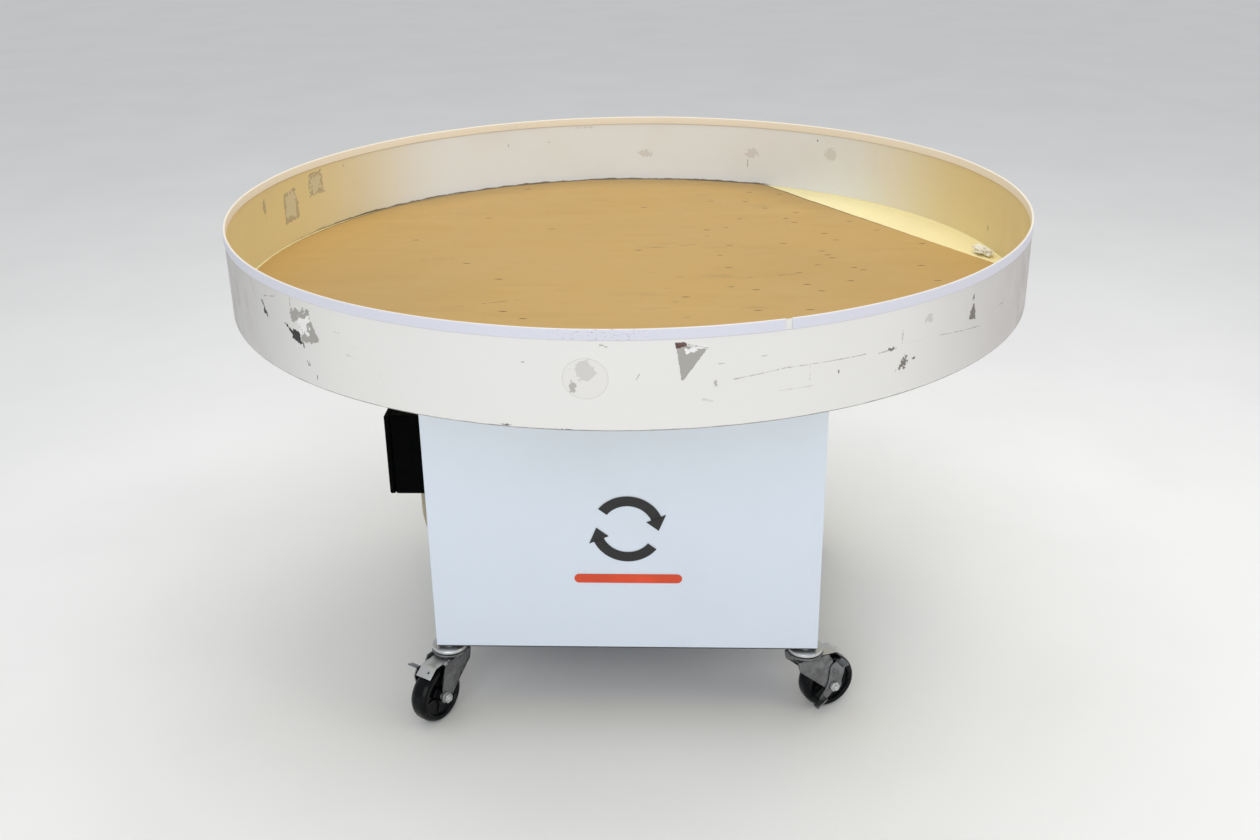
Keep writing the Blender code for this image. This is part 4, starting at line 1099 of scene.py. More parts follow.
def dress(finish: Finish, *nodes: str, edge: float = 0.0006) -> None:
    """Give CAD nodes a finish and soft edges.

    Args:
        finish: The finish.
        nodes: The nodes' names.
        edge: Width of the rounded edges, or 0.
    """
    for name in nodes:
        node = frame["nodes"][name]
        node.data.materials.clear()
        node.data.materials.append(finish.material())
        if edge:
            bevel = node.modifiers.new("soft_edges", "BEVEL")
            bevel.width = edge
            bevel.segments = 2
            bevel.limit_method = "ANGLE"
            bevel.angle_limit = math.radians(40.0)
            bevel.use_clamp_overlap = True
        log.info("%s keeps its CAD shape", name)


# ---------------------------------------------------------------------- deck

@dataclass
class Deck:
    """The turning pan: wall, trim, liner and floor."""

    segments: int = 480
    sheet: float = 0.0020
    trim_sheet: float = 0.0012
    trim_height: float = 0.0170
    join_angle: float = -69.73
    join_gap: float = 0.0110
    chord: float = 0.6355
    chord_angle: float = 33.5
    liner_rings: int = 26
    low: Vector = field(default_factory=lambda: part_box("rim_wall_front")[0])
    high: Vector = field(default_factory=lambda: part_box("rim_wall_back")[1])

    def build(self) -> None:
        """Build the whole deck."""
        self.build_wall()
        self.build_trim()
        self.build_liner()
        self.build_wad()
        self.build_floor()

    def build_floor(self) -> None:
        """The deck's round floor, with a bead of paint where it meets the wall."""
        low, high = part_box("deck_plate")
        reach, bead = self.high.x - self.sheet - 0.0004, 0.0026
        turns = [i * math.pi / 12 for i in range(7)]
        corner = [(reach - bead + bead * math.sin(a), high.z + bead - bead * math.cos(a)) for a in turns]
        profile = [(0.0, high.z), (0.40, high.z), *corner, (reach, low.z), (0.0, low.z)]
        add_piece("deck_floor", lathe(profile, self.segments), Paint.FLOOR_PAINTED_BOUNCE, "deck", ["deck_plate"],
                  degrees=50.0)

    def build_wall(self) -> None:
        """The rolled wall with its folded lip and rounded bend."""
        outer = self.high.x
        inner, low, high = outer - self.sheet, self.low.z, self.high.z
        painted_lit_lip = inner - 0.0180
        bend = 0.0030
        outside = [(outer - bend + bend * math.cos(a), low + bend - bend * math.sin(a))
                   for a in (i * math.pi / 10 for i in range(6))]
        tight = bend - self.sheet
        inside = [(inner - tight + tight * math.cos(a), low + self.sheet + tight - tight * math.sin(a))
                  for a in (math.pi / 2 - i * math.pi / 6 for i in range(4))]
        profile = [(outer, high), *outside, (painted_lit_lip, low), (painted_lit_lip, low + self.sheet), *inside, (inner, high)]
        mesh = lathe(profile, self.segments, closed=True)
        add_piece("deck_wall", mesh, Paint.WALL, "deck", ["rim_wall_front", "rim_wall_back"])

    def build_trim(self) -> None:
        """The edge channel, whose two ends don't quite meet."""
        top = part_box("rim_trim")[1].z
        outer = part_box("rim_trim")[1].x
        inner = self.high.x - self.sheet - 0.0003 - self.trim_sheet
        skirt = top - self.trim_height
        roll = 0.0018
        middle = (outer + inner) / 2
        crown = [(middle + (outer - middle) * math.cos(a), top - roll + roll * math.sin(a))
                 for a in (math.pi - i * math.pi / 10 for i in range(11))]
        web = top - roll - 0.0002
        profile = [(inner, skirt + 0.0006), *crown, (outer, skirt + 0.0006), (outer - 0.0004, skirt),
                   (outer - self.trim_sheet, skirt), (outer - self.trim_sheet, web),
                   (inner + self.trim_sheet, web), (inner + self.trim_sheet, skirt)]
        half = self.join_gap / outer / 2
        start = math.radians(self.join_angle) + half
        mesh = lathe(profile, self.segments, closed=True, start=start, sweep=math.tau - 2 * half,
                     wobble=self.trim_lift)
        add_piece("deck_trim", mesh, Paint.TRIM, "deck", ["rim_trim"])

    def trim_lift(self, angle: float) -> float:
        """The channel isn't pushed home evenly."""
        spot = Vector((math.cos(angle), math.sin(angle), 0.0)) * 5.0
        return 0.00045 * noise.noise(spot) - 0.00030

    def build_liner(self) -> None:
        """The hardboard liner with a chewed rim and one straight edge."""
        low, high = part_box("floor_liner")
        radius, top, thick = high.x, high.z, high.z - low.z
        half = math.acos(self.chord / radius)
        columns = 360
        bm = bmesh.new()
        centre = bm.verts.new((0.0, 0.0, top))
        rings: list[list[bmesh.types.BMVert]] = []
        for ring in range(1, self.liner_rings + 1):
            share = (ring / self.liner_rings) ** 0.8
            row = []
            for column in range(columns):
                angle = math.tau * column / columns
                edge = self.liner_edge(angle, radius, half)
                x, y = share * edge * math.cos(angle), share * edge * math.sin(angle)
                row.append(bm.verts.new((x, y, top + self.liner_lift(x, y, share))))
            rings.append(row)
        for column in range(columns):
            after = (column + 1) % columns
            bm.faces.new((centre, rings[0][column], rings[0][after]))
            for here, there in zip(rings, rings[1:]):
                bm.faces.new((here[column], there[column], there[after], here[after]))
        skirt = [bm.verts.new((v.co.x, v.co.y, top - thick)) for v in rings[-1]]
        for column in range(columns):
            after = (column + 1) % columns
            bm.faces.new((rings[-1][column], skirt[column], skirt[after], rings[-1][after]))
        bm.faces.new(skirt)
        add_piece("deck_liner", from_bmesh(bm, "liner"), Paint.LINER, "deck", ["floor_liner"],
                  degrees=50.0)

    def liner_edge(self, angle: float, radius: float, half: float) -> float:
        """Distance from the shaft to the liner's edge at an angle.

        Args:
            angle: Angle around the deck.
            radius: The liner's full radius.
            half: Half the angle that the straight edge spans.

        Returns:
            The distance, with the chewed edge.
        """
        spot = Vector((math.cos(angle), math.sin(angle), 0.0))
        chew = 0.0016 * noise.fractal(spot * 26.0, 0.6, 2.0, 4)
        bite = max(0.0, noise.noise(spot * 7.0 + Vector((3.0, 1.0, 5.0))) - 0.42) * 0.020
        turn = (angle - math.radians(self.chord_angle) + math.pi) % math.tau - math.pi
        reach = radius if abs(turn) > half else self.chord / math.cos(turn)
        return reach - abs(chew) - bite

    def liner_lift(self, x: float, y: float, share: float) -> float:
        """How far the board has curled off the floor at a point."""
        rise = 0.0016 * max(0.0, share - 0.86) / 0.14
        back = max(0.0, y / 0.75) ** 3
        ripple = noise.noise(Vector((x, y, 0.0)) * 9.0)
        curl = 0.0022 * max(0.0, share - 0.90) / 0.10 * max(0.0, noise.noise(Vector((x, y, 2.0)) * 16.0))
        return rise * back * (0.7 + 0.5 * ripple) + curl * (0.3 + back) + 0.00035 * (ripple + 0.4) * share

    def build_wad(self) -> None:
        """A scrap of crumpled film caught at the end of the straight edge."""
        bm = bmesh.new()
        bmesh.ops.create_icosphere(bm, subdivisions=4, radius=1.0)
        for vert in bm.verts:
            spot = vert.co.copy()
            crease = noise.fractal(spot * 1.9, 0.7, 2.2, 5)
            fold = abs(noise.noise(spot * 3.1))
            vert.co = spot * (0.82 + 0.36 * crease - 0.25 * fold)
        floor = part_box("deck_plate")[1].z
        mesh = from_bmesh(bm, "wad")
        mesh.transform(Matrix.Diagonal((0.034, 0.0140, 0.0105, 1.0)))
        angle = math.radians(9.5)
        reach = 0.728
        place = shift(reach * math.cos(angle), reach * math.sin(angle), floor + 0.0095)
        add_piece("film_scrap", moved(mesh, place @ spin(118.0, "Z")),
                  Paint.FILM, "deck", degrees=24.0)


# ------------------------------------------------------------------- cabinet

@dataclass
class Cabinet:
    """Four folded panels on a frame, with the pictogram on the front."""

    sheet: float = 0.0020
    fold: float = 0.0180
    bend: float = 0.0032
    lift: float = 0.0036
    waviness: float = 0.00045

    def __post_init__(self) -> None:
        """Read the cabinet's size from the frame."""
        low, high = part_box("front_panel")
        self.half = high.x
        self.bottom, self.top = low.z + self.lift, high.z

    def build(self) -> None:
        """Build the panels, dress the frame and add the pictogram."""
        corners = {"front_panel": (0.0, True), "back_panel": (180.0, True),
                   "left_panel": (-90.0, False), "right_panel": (90.0, False)}
        for name, (turn, folds) in corners.items():
            self.build_panel(name, turn, folds)
        dress(Paint.FRAME, "base_frame", "top_plate",
              *(n for n in frame["nodes"] if n.startswith("corner_post")), edge=0.0008)
        self.build_screws()
        self.build_pictogram()

    def section(self, width: float, folds: bool) -> list[tuple[Point, Point]]:
        """Outer and inner points of a panel's level section.

        Args:
            width: Half the panel's width.
            folds: Whether its sides are folded back.

        Returns:
            Pairs of outer and inner points, left to right, front facing -Y.
        """
        pairs: list[tuple[Point, Point]] = []
        face, r, t = -self.half, self.bend, self.sheet
        turns = [i * math.pi / 12 for i in range(7)]
        if folds:
            pairs.append(((-width, face + self.fold), (-width + t, face + self.fold)))
            for a in turns:
                c, s = math.cos(a), math.sin(a)
                pairs.append(((-width + r - r * c, face + r - r * s),
                              (-width + r - (r - t) * c, face + r - (r - t) * s)))
        start = -width + (r if folds else 0.0)
        count = 40
        for i in range(1 if folds else 0, count if folds else count + 1):
            x = start - 2 * start * i / count
            pairs.append(((x, face), (x, face + t)))
        if folds:
            for a in reversed(turns):
                c, s = math.cos(a), math.sin(a)
                pairs.append(((width - r + r * c, face + r - r * s),
                              (width - r + (r - t) * c, face + r - (r - t) * s)))
            pairs.append(((width, face + self.fold), (width - t, face + self.fold)))
        return pairs

    def build_panel(self, name: str, turn: float, folds: bool) -> None:
        """One panel, a little wavy as sheet metal is.

        Args:
            name: The CAD node it stands for.
            turn: Heading about Z in degrees, 0 for the front.
            folds: Whether its sides are folded back.
        """
        width = self.half if folds else self.half - self.fold - 0.0003
        pairs = self.section(width, folds)
        loop = [outer for outer, _ in pairs] + [inner for _, inner in reversed(pairs)]
        rows = 34
        bm = bmesh.new()
        levels = []
        for row in range(rows + 1):
            z = self.bottom + (self.top - self.bottom) * row / rows
            levels.append([bm.verts.new((x, y + self.swell(x, z, width, turn), z)) for x, y in loop])
        count = len(loop)
        for here, there in zip(levels, levels[1:]):
            for i in range(count):
                j = (i + 1) % count
                bm.faces.new((here[i], here[j], there[j], there[i]))
        half = len(pairs)
        for level in (levels[0], levels[-1]):
            for i in range(half - 1):
                bm.faces.new((level[i], level[i + 1], level[count - 2 - i], level[count - 1 - i]))
        mesh = from_bmesh(bm, name)
        if name == "left_panel":
            mesh = self.pierce(mesh)
        else:
            moved(mesh, spin(turn, "Z"))
        add_piece(f"{name}_sheet", mesh, Paint.PANEL, "cabinet", [name], degrees=40.0)

    def pierce(self, mesh: bpy.types.Mesh) -> bpy.types.Mesh:
        """Turn the left panel to its side and drill the motor lead's hole."""
        low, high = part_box("side_gland")
        centre = (low + high) / 2
        drill = moved(lathe([(0.0, 0.02), (0.008, 0.02), (0.008, -0.02), (0.0, -0.02)], 24),
                      shift(-self.half, centre.y, centre.z) @ spin(90.0, "Y"))
        moved(mesh, spin(-90.0, "Z"))
        return carved(mesh, (drill, "DIFFERENCE"))

    def swell(self, x: float, z: float, width: float, turn: float) -> float:
        """How far the flat of a panel bows in or out at a point."""
        inset = min(1.0, max(0.0, (width - abs(x)) / 0.08))
        height = min(1.0, max(0.0, min(z - self.bottom, self.top - z) / 0.06))
        spot = Vector((x * 3.2, z * 3.2, turn))
        return self.waviness * inset * height * (noise.noise(spot) * 1.2 + 0.3)

    def build_screws(self) -> None:
        """Pan-head screws along the top and bottom of the hidden panels."""
        head = lathe([(0.0, 0.0016), (0.0012, 0.0022), (0.0030, 0.0019), (0.0044, 0.0008),
                      (0.0046, 0.0), (0.0, 0.0)], 24)
        slot = block((-0.0050, -0.0005, 0.0014), (0.0050, 0.0005, 0.0040), 0.0001, 1)
        head = carved(head, (slot, "DIFFERENCE"))
        heads = []
        for turn in (-90.0, 90.0, 180.0):
            for x in (-0.32, 0.0, 0.32):
                for z in (self.bottom + 0.019, self.top - 0.010):
                    place = spin(turn, "Z") @ Matrix.Translation(
                        (x, -self.half, z)) @ spin(90.0, "X")
                    place = place @ Matrix.Rotation(x * 5.0 + z * 9.0, 4, "Z")
                    copy = head.copy()
                    heads.append(moved(copy, place))
        add_piece("panel_screws", joined(*heads), Paint.ZINC, "cabinet")

    def build_pictogram(self) -> None:
        """A plain rotation arrow over a bar, printed on the front panel."""
        face = -self.half - 0.00055
        upright = shift(0.006, face, 0.408) @ spin(90.0, "X")
        outer, inner = 0.0680, 0.0480
        arrows = []
        for turn in (0.0, 180.0):
            body = arc((0, 0), outer, turn + 22, turn + 142, 40)
            body += arc((0, 0), inner, turn + 142, turn + 22, 40)
            arrows.append(slab(body, 0.0003, edge=0.0))
            middle, tip = (outer + inner) / 2, math.radians(turn + 14 - 17)
            base = math.radians(turn + 23)
            head = [(middle * math.cos(tip), middle * math.sin(tip)),
                    ((outer + 0.010) * math.cos(base), (outer + 0.010) * math.sin(base)),
                    ((inner - 0.010) * math.cos(base), (inner - 0.010) * math.sin(base))]
            arrows.append(slab(head, 0.0003, edge=0.0))
        add_piece("pictogram_arrows", moved(joined(*arrows), upright), Paint.INK_BLACK, "cabinet")
        stripe = arc((0.092, 0.0), 0.0095, -90, 90, 12) + arc((-0.092, 0.0), 0.0095, 90, 270, 12)
        bar_place = shift(0.006, face, 0.303) @ spin(90.0, "X")
        add_piece("pictogram_bar", moved(slab(stripe, 0.0003, edge=0.0), bar_place), Paint.INK_ORANGE,
                  "cabinet")


# --------------------------------------------------------------------- drive

@dataclass
class Drive:
    """Everything under the deck and inside the cabinet."""

    def build(self) -> None:
        """Dress the CAD pieces of the drive."""
        dress(Paint.STEEL, "deck_spider", "drive_shaft", "bearing_ring", "worm_shaft", edge=0.0005)
        dress(Paint.CAST, "hub_flange", "bearing_housing", "gearbox_housing", "gearbox_cover",
              edge=0.0012)
        dress(Paint.BRONZE, "worm_wheel", edge=0.0)
        dress(Paint.MOTOR, "motor_case", edge=0.0010)
        dress(Paint.BLACK, "fan_cover", edge=0.0006)


# --------------------------------------------------------------- control box

@dataclass
class ControlBox:
    """The black box on the left panel with its knob, switch and glands."""

    corner: float = 0.0040
    lead_radius: float = 0.0050
    route: tuple[Point, ...] = (
        (-0.4151, -0.150, 0.400), (-0.4151, -0.150, 0.360), (-0.4145, -0.150, 0.325),
        (-0.4060, -0.150, 0.289), (-0.3860, -0.150, 0.2710), (-0.3676, -0.150, 0.2700),
        (-0.3300, -0.150, 0.2700), (-0.2300, -0.148, 0.3000), (-0.1100, -0.135, 0.4300),
        (0.0100, -0.120, 0.5700), (0.0900, -0.100, 0.6350), (0.1350, -0.070, 0.6540),
        (0.1400, -0.0323, 0.6550))

    def build(self) -> None:
        """Build the box and what is on it."""
        self.build_case()
        self.build_scale()
        self.build_glands()
        self.build_knob()
        dress(Paint.BLACK, "switch_bezel", edge=0.0006)
        dress(Paint.KNOB, "power_switch", edge=0.0008)
        dress(Paint.BOARD, "control_board", edge=0.0)
        add_piece("motor_lead_jacket", tube(self.route, self.lead_radius), Paint.JACKET, "cabinet",
                  ["motor_lead"])

    def build_case(self) -> None:
        """Hollow case and lid with rounded corners, a seam and lid screws."""
        low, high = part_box("control_box")
        wall = 0.0030
        case = block(low, high, self.corner, 4)
        room = block((low.x - 0.02, low.y + wall, low.z + wall),
                     (high.x - wall, high.y - wall, high.z - wall), 0.002, 2)
        steps = [(room, "DIFFERENCE")]
        for node in ("lead_gland", "mains_gland"):
            centre = sum(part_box(node), Vector()) / 2
            drill = lathe([(0.0, 0.02), (0.0073, 0.02), (0.0073, -0.02), (0.0, -0.02)], 24)
            steps.append((moved(drill, shift(centre.x, centre.y, low.z)), "DIFFERENCE"))
        add_piece("control_case", carved(case, *steps), Paint.BLACK, "cabinet", ["control_box"])

        low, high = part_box("control_lid")
        lid = block(low, high, self.corner, 4)
        room = block((low.x + wall, low.y + wall, low.z + wall),
                     (high.x + 0.02, high.y - wall, high.z - wall), 0.002, 2)
        knob, rocker = self.axis("speed_knob_turn"), self.axis("power_switch_rock")
        bore = lathe([(0.0, 0.02), (0.0037, 0.02), (0.0037, -0.02), (0.0, -0.02)], 24)
        bore = moved(bore, shift(low.x, knob.y, knob.z) @ spin(90.0, "Y"))
        port = block((low.x - 0.01, rocker.y - 0.0103, rocker.z - 0.0153),
                     (low.x + 0.01, rocker.y + 0.0103, rocker.z + 0.0153), 0.0002, 1)
        lid = carved(lid, (room, "DIFFERENCE"), (bore, "DIFFERENCE"), (port, "DIFFERENCE"))
        add_piece("control_lid_shell", lid, Paint.BLACK, "cabinet", ["control_lid"])
        heads = []
        for y in (low.y + 0.011, high.y - 0.011):
            for z in (low.z + 0.011, high.z - 0.011):
                head = lathe([(0.0, 0.0006), (0.0022, 0.0010), (0.0038, 0.0006), (0.0042, 0.0),
                              (0.0, 0.0)], 20)
                heads.append(moved(head, shift(low.x, y, z)
                                   @ spin(-90.0, "Y")))
        add_piece("lid_screws", joined(*heads), Paint.ZINC, "cabinet")

    def axis(self, joint: str) -> Vector:
        """Where a joint turns."""
        return Vector(next(j["pos_m"] for j in frame["joints"] if j["name"] == joint))

    def build_scale(self) -> None:
        """Raised tick marks round the speed knob."""
        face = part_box("control_lid")[0].x
        knob = self.axis("speed_knob_turn")
        ticks = []
        for step in range(11):
            angle = math.radians(-135.0 + 27.0 * step)
            length = 0.0046 if step % 5 == 0 else 0.0028
            tick = block((-0.00015, -0.0005, 0.0200), (0.00015, 0.0005, 0.0200 + length), 0.0001, 1)
            ticks.append(moved(tick, shift(face - 0.0001, knob.y, knob.z)
                               @ Matrix.Rotation(angle, 4, "X")))
        add_piece("speed_scale", joined(*ticks), Paint.TRIM, "cabinet")

    def build_knob(self) -> None:
        """A fluted knob with a white pointer line."""
        low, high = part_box("speed_knob")
        centre = self.axis("speed_knob_turn")
        depth = 0.0180
        face = low.x
        rows = [(0.0, 0.0), (0.0120, 0.0), (0.0150, 0.0012), (0.0158, 0.0035), (0.0166, depth - 0.004),
                (0.0170, depth - 0.002), (0.0170, depth), (0.0030, depth), (0.0030, high.x - low.x),
                (0.0, high.x - low.x)]
        mesh = lathe([(r, -z) for r, z in rows], 96)
        for vert in mesh.vertices:
            reach = math.hypot(vert.co.x, vert.co.y)
            if 0.0140 < reach and -depth + 0.003 < vert.co.z < -0.001:
                angle = math.atan2(vert.co.y, vert.co.x)
                shrink = 1.0 - 0.055 * max(0.0, math.cos(12.0 * angle)) ** 2
                vert.co.x *= shrink
                vert.co.y *= shrink
        place = shift(face, centre.y, centre.z) @ spin(-90.0, "Y")
        knob = add_piece("knob_body", moved(mesh, place), Paint.KNOB, "knob", ["speed_knob"])
        line = block((-0.0003, -0.0008, 0.0030), (0.0003, 0.0008, 0.0125), 0.0002, 1)
        add_piece("knob_pointer", moved(line, shift(face - 0.0001, centre.y, centre.z)),
                  Paint.TRIM, "knob")
        log.info("%s has a pointer", knob.name)

    def build_glands(self) -> None:
        """Cord grips with a hexagon, a domed cap and a locknut."""
        for node, bore in (("lead_gland", 0.0058), ("mains_gland", 0.0034)):
            low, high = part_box(node)
            centre = (low + high) / 2
            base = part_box("control_box")[0].z - 0.0003
            body = lathe([(bore, high.z), (0.0068, high.z), (0.0068, base), (0.0098, base),
                          (0.0104, base - 0.0008), (0.0104, base - 0.0052), (0.0098, base - 0.0060),
                          (0.0088, base - 0.0064), (0.0088, base - 0.0130), (0.0080, base - 0.0152),
                          (bore + 0.0008, low.z), (bore, low.z)], 12, closed=True)
            body = rounded(body, 0.0003, 2, 18.0)
            place = shift(centre.x, centre.y, 0.0)
            add_piece(f"{node}_grip", moved(body, place), Paint.NICKEL, "cabinet", [node])
        low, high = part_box("side_gland")
        centre = (low + high) / 2
        ring = lathe([(0.0056, 0.0090), (0.0080, 0.0090), (0.0092, 0.0075), (0.0092, 0.0045),
                      (0.0112, 0.0042), (0.0114, 0.0004), (0.0110, 0.0), (0.0056, 0.0)], 32, closed=True)
        place = shift(high.x, centre.y, centre.z) @ spin(-90.0, "Y")
        add_piece("side_gland_nut", moved(ring, place), Paint.BLACK, "cabinet", ["side_gland"])


# ------------------------------------------------------------------- casters

class Corner(Enum):
    """The four casters."""

    FRONT_LEFT = "front_left"
    FRONT_RIGHT = "front_right"
    BACK_LEFT = "back_left"
    BACK_RIGHT = "back_right"


@dataclass
class Caster:
    """A braked swivel caster, built along +X from its pivot on the floor."""

    corner: Corner
    wheel_width: float = 0.0380
    inner: float = 0.0240
    sheet: float = 0.0028
    lever_sheet: float = 0.0026
    axle_radius: float = 0.0055
    seat: float = 0.1262

    def __post_init__(self) -> None:
        """Read the caster's place and heading from the frame's joints."""
        joints = {j["name"]: j for j in frame["joints"]}
        pivot = Vector(joints[f"{self.corner.value}_swivel_turn"]["pos_m"])
        axle = Vector(joints[f"{self.corner.value}_wheel_spin"]["pos_m"])
        ahead = axle - pivot
        self.lead = math.hypot(ahead.x, ahead.y)
        self.radius = axle.z
        heading = math.atan2(ahead.y, ahead.x)
        self.matrix = shift(pivot.x, pivot.y, 0.0) @ Matrix.Rotation(heading, 4, "Z")
        self.axle_matrix = self.matrix @ shift(self.lead, 0.0, self.radius)

    def build(self) -> None:
        """Build every piece of the caster."""
        self.build_stem()
        self.build_fork()
        self.build_wheel()
        self.build_axle()
        self.build_leaf()
        self.build_lever()

    def add(self, kind: str, mesh: bpy.types.Mesh, finish: Finish, body: str,
            matrix: Matrix, replaces: bool = True, edges: Finish | None = None) -> None:
        """Add a piece of this caster under its corner's name."""
        node = [f"caster_{self.corner.value}_{kind}"] if replaces else []
        add_piece(f"{self.corner.value}_{kind}_piece", mesh, finish, body, node, matrix, edges=edges)

    def build_stem(self) -> None:
        """Threaded stem, nut and the fixed upper race."""
        low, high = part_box(f"caster_{self.corner.value}_stem")
        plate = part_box("base_frame")[0].z
        top = high.z
        race = (high.x - low.x) / 2
        nut = top - 0.0180
        threads: list[Point] = []
        z = top - 0.0006
        while z > nut + 0.0110:
            threads += [(0.0062, z), (0.0055, z - 0.0006)]
            z -= 0.0012
        profile = [(0.0, top), (0.0054, top), *threads, (0.0058, nut + 0.0100), (0.0100, nut + 0.0100),
                   (0.0105, nut + 0.0092), (0.0105, nut + 0.0006), (0.0100, nut), (0.0062, nut),
                   (0.0062, plate - 0.0003), (0.0140, plate - 0.0003), (0.0144, plate - 0.0012),
                   (0.0144, 0.1441), (0.0300, 0.1441), (0.0330, 0.1434), (race - 0.0008, 0.1422),
                   (race, 0.1408), (race, 0.1385), (race - 0.0006, 0.1372), (race - 0.0030, 0.1358),
                   (0.0, 0.1357)]
        self.add("stem", lathe(profile, 72), Paint.ZINC, "cabinet",
                 Matrix.Translation(self.matrix.translation))

    def build_fork(self) -> None:
        """Lower race with two legs that taper to the axle."""
        seat, race = self.seat, 0.0350
        cup = lathe([(0.0, 0.1352), (race - 0.0030, 0.1352), (race - 0.0006, 0.1344), (race, 0.1332),
                     (race, seat + 0.0052), (race - 0.0008, seat + 0.0036), (race - 0.0030, seat + 0.0006),
                     (0.0300, seat), (0.0, seat)], 72)
        boss = 0.0125
        outline = [(0.0380, seat + 0.0010), (-0.0300, seat + 0.0010), (-0.0292, 0.1170),
                   (-0.0268, 0.1090)]
        outline += arc((self.lead, self.radius), boss, 215, 395, 20)
        outline += [(0.0535, 0.0900), (0.0510, 0.1020), (0.0460, 0.1150)]
        hole = arc((self.lead, self.radius), self.axle_radius + 0.0004, 0, 345, 23)
        legs = []
        for side in (-1, 1):
            leg = slab(outline, self.sheet, [hole], 0.0005)
            moved(leg, spin(90.0, "X"))
            legs.append(moved(leg, shift(0.0, side * (self.inner + self.sheet / 2), 0.0)))
            legs.append(self.flange(side))
        plate = block((-0.0295, -self.inner - 0.001, seat - 0.0018),
                      (0.0250, self.inner + 0.001, seat + 0.0010), 0.0006)
        # Painted highlight on the race cup and sheet edges in bright zinc; the faces take the dark zinc of
        # painted dark reflection.
        bright(cup)
        self.add("fork", joined(cup, plate, *legs), Paint.ZINC_PAINTED_DARK, f"{self.corner.value}_swivel",
                 self.matrix, edges=Paint.ZINC)

    def flange(self, side: int) -> bpy.types.Mesh:
        """The stiffening lip along the back edge of a leg.

        Args:
            side: -1 or 1, the leg it belongs to.

        Returns:
            The lip's mesh.
        """
        start, end = Vector((-0.0262, 0.0, 0.1080)), Vector((0.0360, 0.0, 0.0520))
        run = end - start
        length = run.length
        painted_lit_lip = block((0.0, -0.0007, -0.0010), (length, 0.0007, 0.0010), 0.0006, 2)
        tilt = math.atan2(-run.z, run.x)
        place = shift(start.x, side * (self.inner + self.sheet + 0.0002), start.z)
        return moved(painted_lit_lip, place @ Matrix.Rotation(tilt, 4, "Y"))

    def build_wheel(self) -> None:
        """Moulded wheel with crowned tread, shoulders, web ribs and hub sleeve."""
        half, radius = self.wheel_width / 2, self.radius
        side = [(0.0062, half), (0.0140, half), (0.0150, half - 0.0008), (0.0160, half - 0.0050),
                (0.0190, half - 0.0078), (0.0300, half - 0.0074), (0.0395, half - 0.0060),
                (0.0415, half - 0.0016), (0.0425, half - 0.0006), (0.0485, half - 0.0002),
                (radius - 0.0062, half - 0.0008), (radius - 0.0042, half - 0.0020),
                (radius - 0.0024, half - 0.0046), (radius - 0.0012, half - 0.0078),
                (radius - 0.0006, half - 0.0090), (radius - 0.0002, half - 0.0115)]
        profile = side + [(radius, 0.0)] + [(r, -z) for r, z in reversed(side)]
        wheel = lathe(profile, 120, closed=True)
        ribs = []
        for face in (-1, 1):
            for turn in range(5):
                rib = block((0.0150, -0.0018, 0.0), (0.0405, 0.0018, 0.0040), 0.0009, 2)
                moved(rib, shift(0.0, 0.0, half - 0.0090))
                moved(rib, Matrix.Rotation(math.tau * turn / 5, 4, "Z"))
                ribs.append(moved(rib, Matrix.Rotation(math.pi if face < 0 else 0.0, 4, "X")))
        mesh = moved(joined(wheel, *ribs), spin(90.0, "X"))
        self.add("wheel", mesh, Paint.WHEEL, f"{self.corner.value}_wheel", self.axle_matrix)
        sleeve = lathe([(0.0060, half + 0.0022), (0.0082, half + 0.0022), (0.0088, half + 0.0014),
                        (0.0088, -half - 0.0014), (0.0082, -half - 0.0022), (0.0060, -half - 0.0022)],
                       36, closed=True)
        self.add("hub_sleeve", moved(sleeve, spin(90.0, "X")), Paint.STEEL,
                 f"{self.corner.value}_wheel", self.axle_matrix, replaces=False)

    def build_axle(self) -> None:
        """Axle bolt, washers and two hexagons."""
        leg = self.inner + self.sheet
        lever_side = leg + 0.0003 + self.lever_sheet + 0.0006
        turn = spin(-90.0, "X")
        shaft = lathe([(0.0, leg + 0.0118), (0.0046, leg + 0.0118), (self.axle_radius, leg + 0.0108),
                       (self.axle_radius, -lever_side - 0.0108), (0.0046, -lever_side - 0.0118),
                       (0.0, -lever_side - 0.0118)], 40)
        washer = lathe([(0.0, leg + 0.0017), (0.0098, leg + 0.0017), (0.0102, leg + 0.0013),
                        (0.0102, leg + 0.0003), (0.0, leg + 0.0003)], 40)
        nut = moved(hexagon(0.0175, 0.0072), shift(0, 0, leg + 0.0017))
        head = moved(hexagon(0.0175, 0.0072), shift(0, 0, lever_side))
        moved(head, spin(180.0, "X"))
        self.add("axle", moved(joined(shaft, washer, nut, head), turn), Paint.ZINC,
                 f"{self.corner.value}_swivel", self.axle_matrix)

    def build_leaf(self) -> None:
        """Brake leaf bent down over the tread, with a punched hole."""
        thick, wide = 0.0020, 0.0175
        top = self.seat - 0.0021
        flat_end, drop_end = Vector((0.0620, top)), Vector((0.0820, top - 0.0160))
        slope = (drop_end - flat_end).normalized()
        under = Vector((slope.y, -slope.x)) * thick
        knee = [flat_end + Vector((-0.0030, 0.0)), flat_end + Vector((-0.0006, -0.0004)),
                flat_end + slope * 0.0024]
        outline = [(0.0160, top), *[tuple(p) for p in knee], tuple(drop_end), tuple(drop_end + under),
                   tuple(flat_end + slope * 0.0016 + under), (flat_end.x - 0.0036, top - thick),
                   (0.0160, top - thick)]
        leaf = moved(slab(outline, 2 * wide, edge=0.0004), spin(90.0, "X"))
        middle = (flat_end + drop_end) / 2
        punch = lathe([(0.0, 0.02), (0.0026, 0.02), (0.0026, -0.02), (0.0, -0.02)], 24)
        moved(punch, shift(middle.x, 0.006, middle.y))
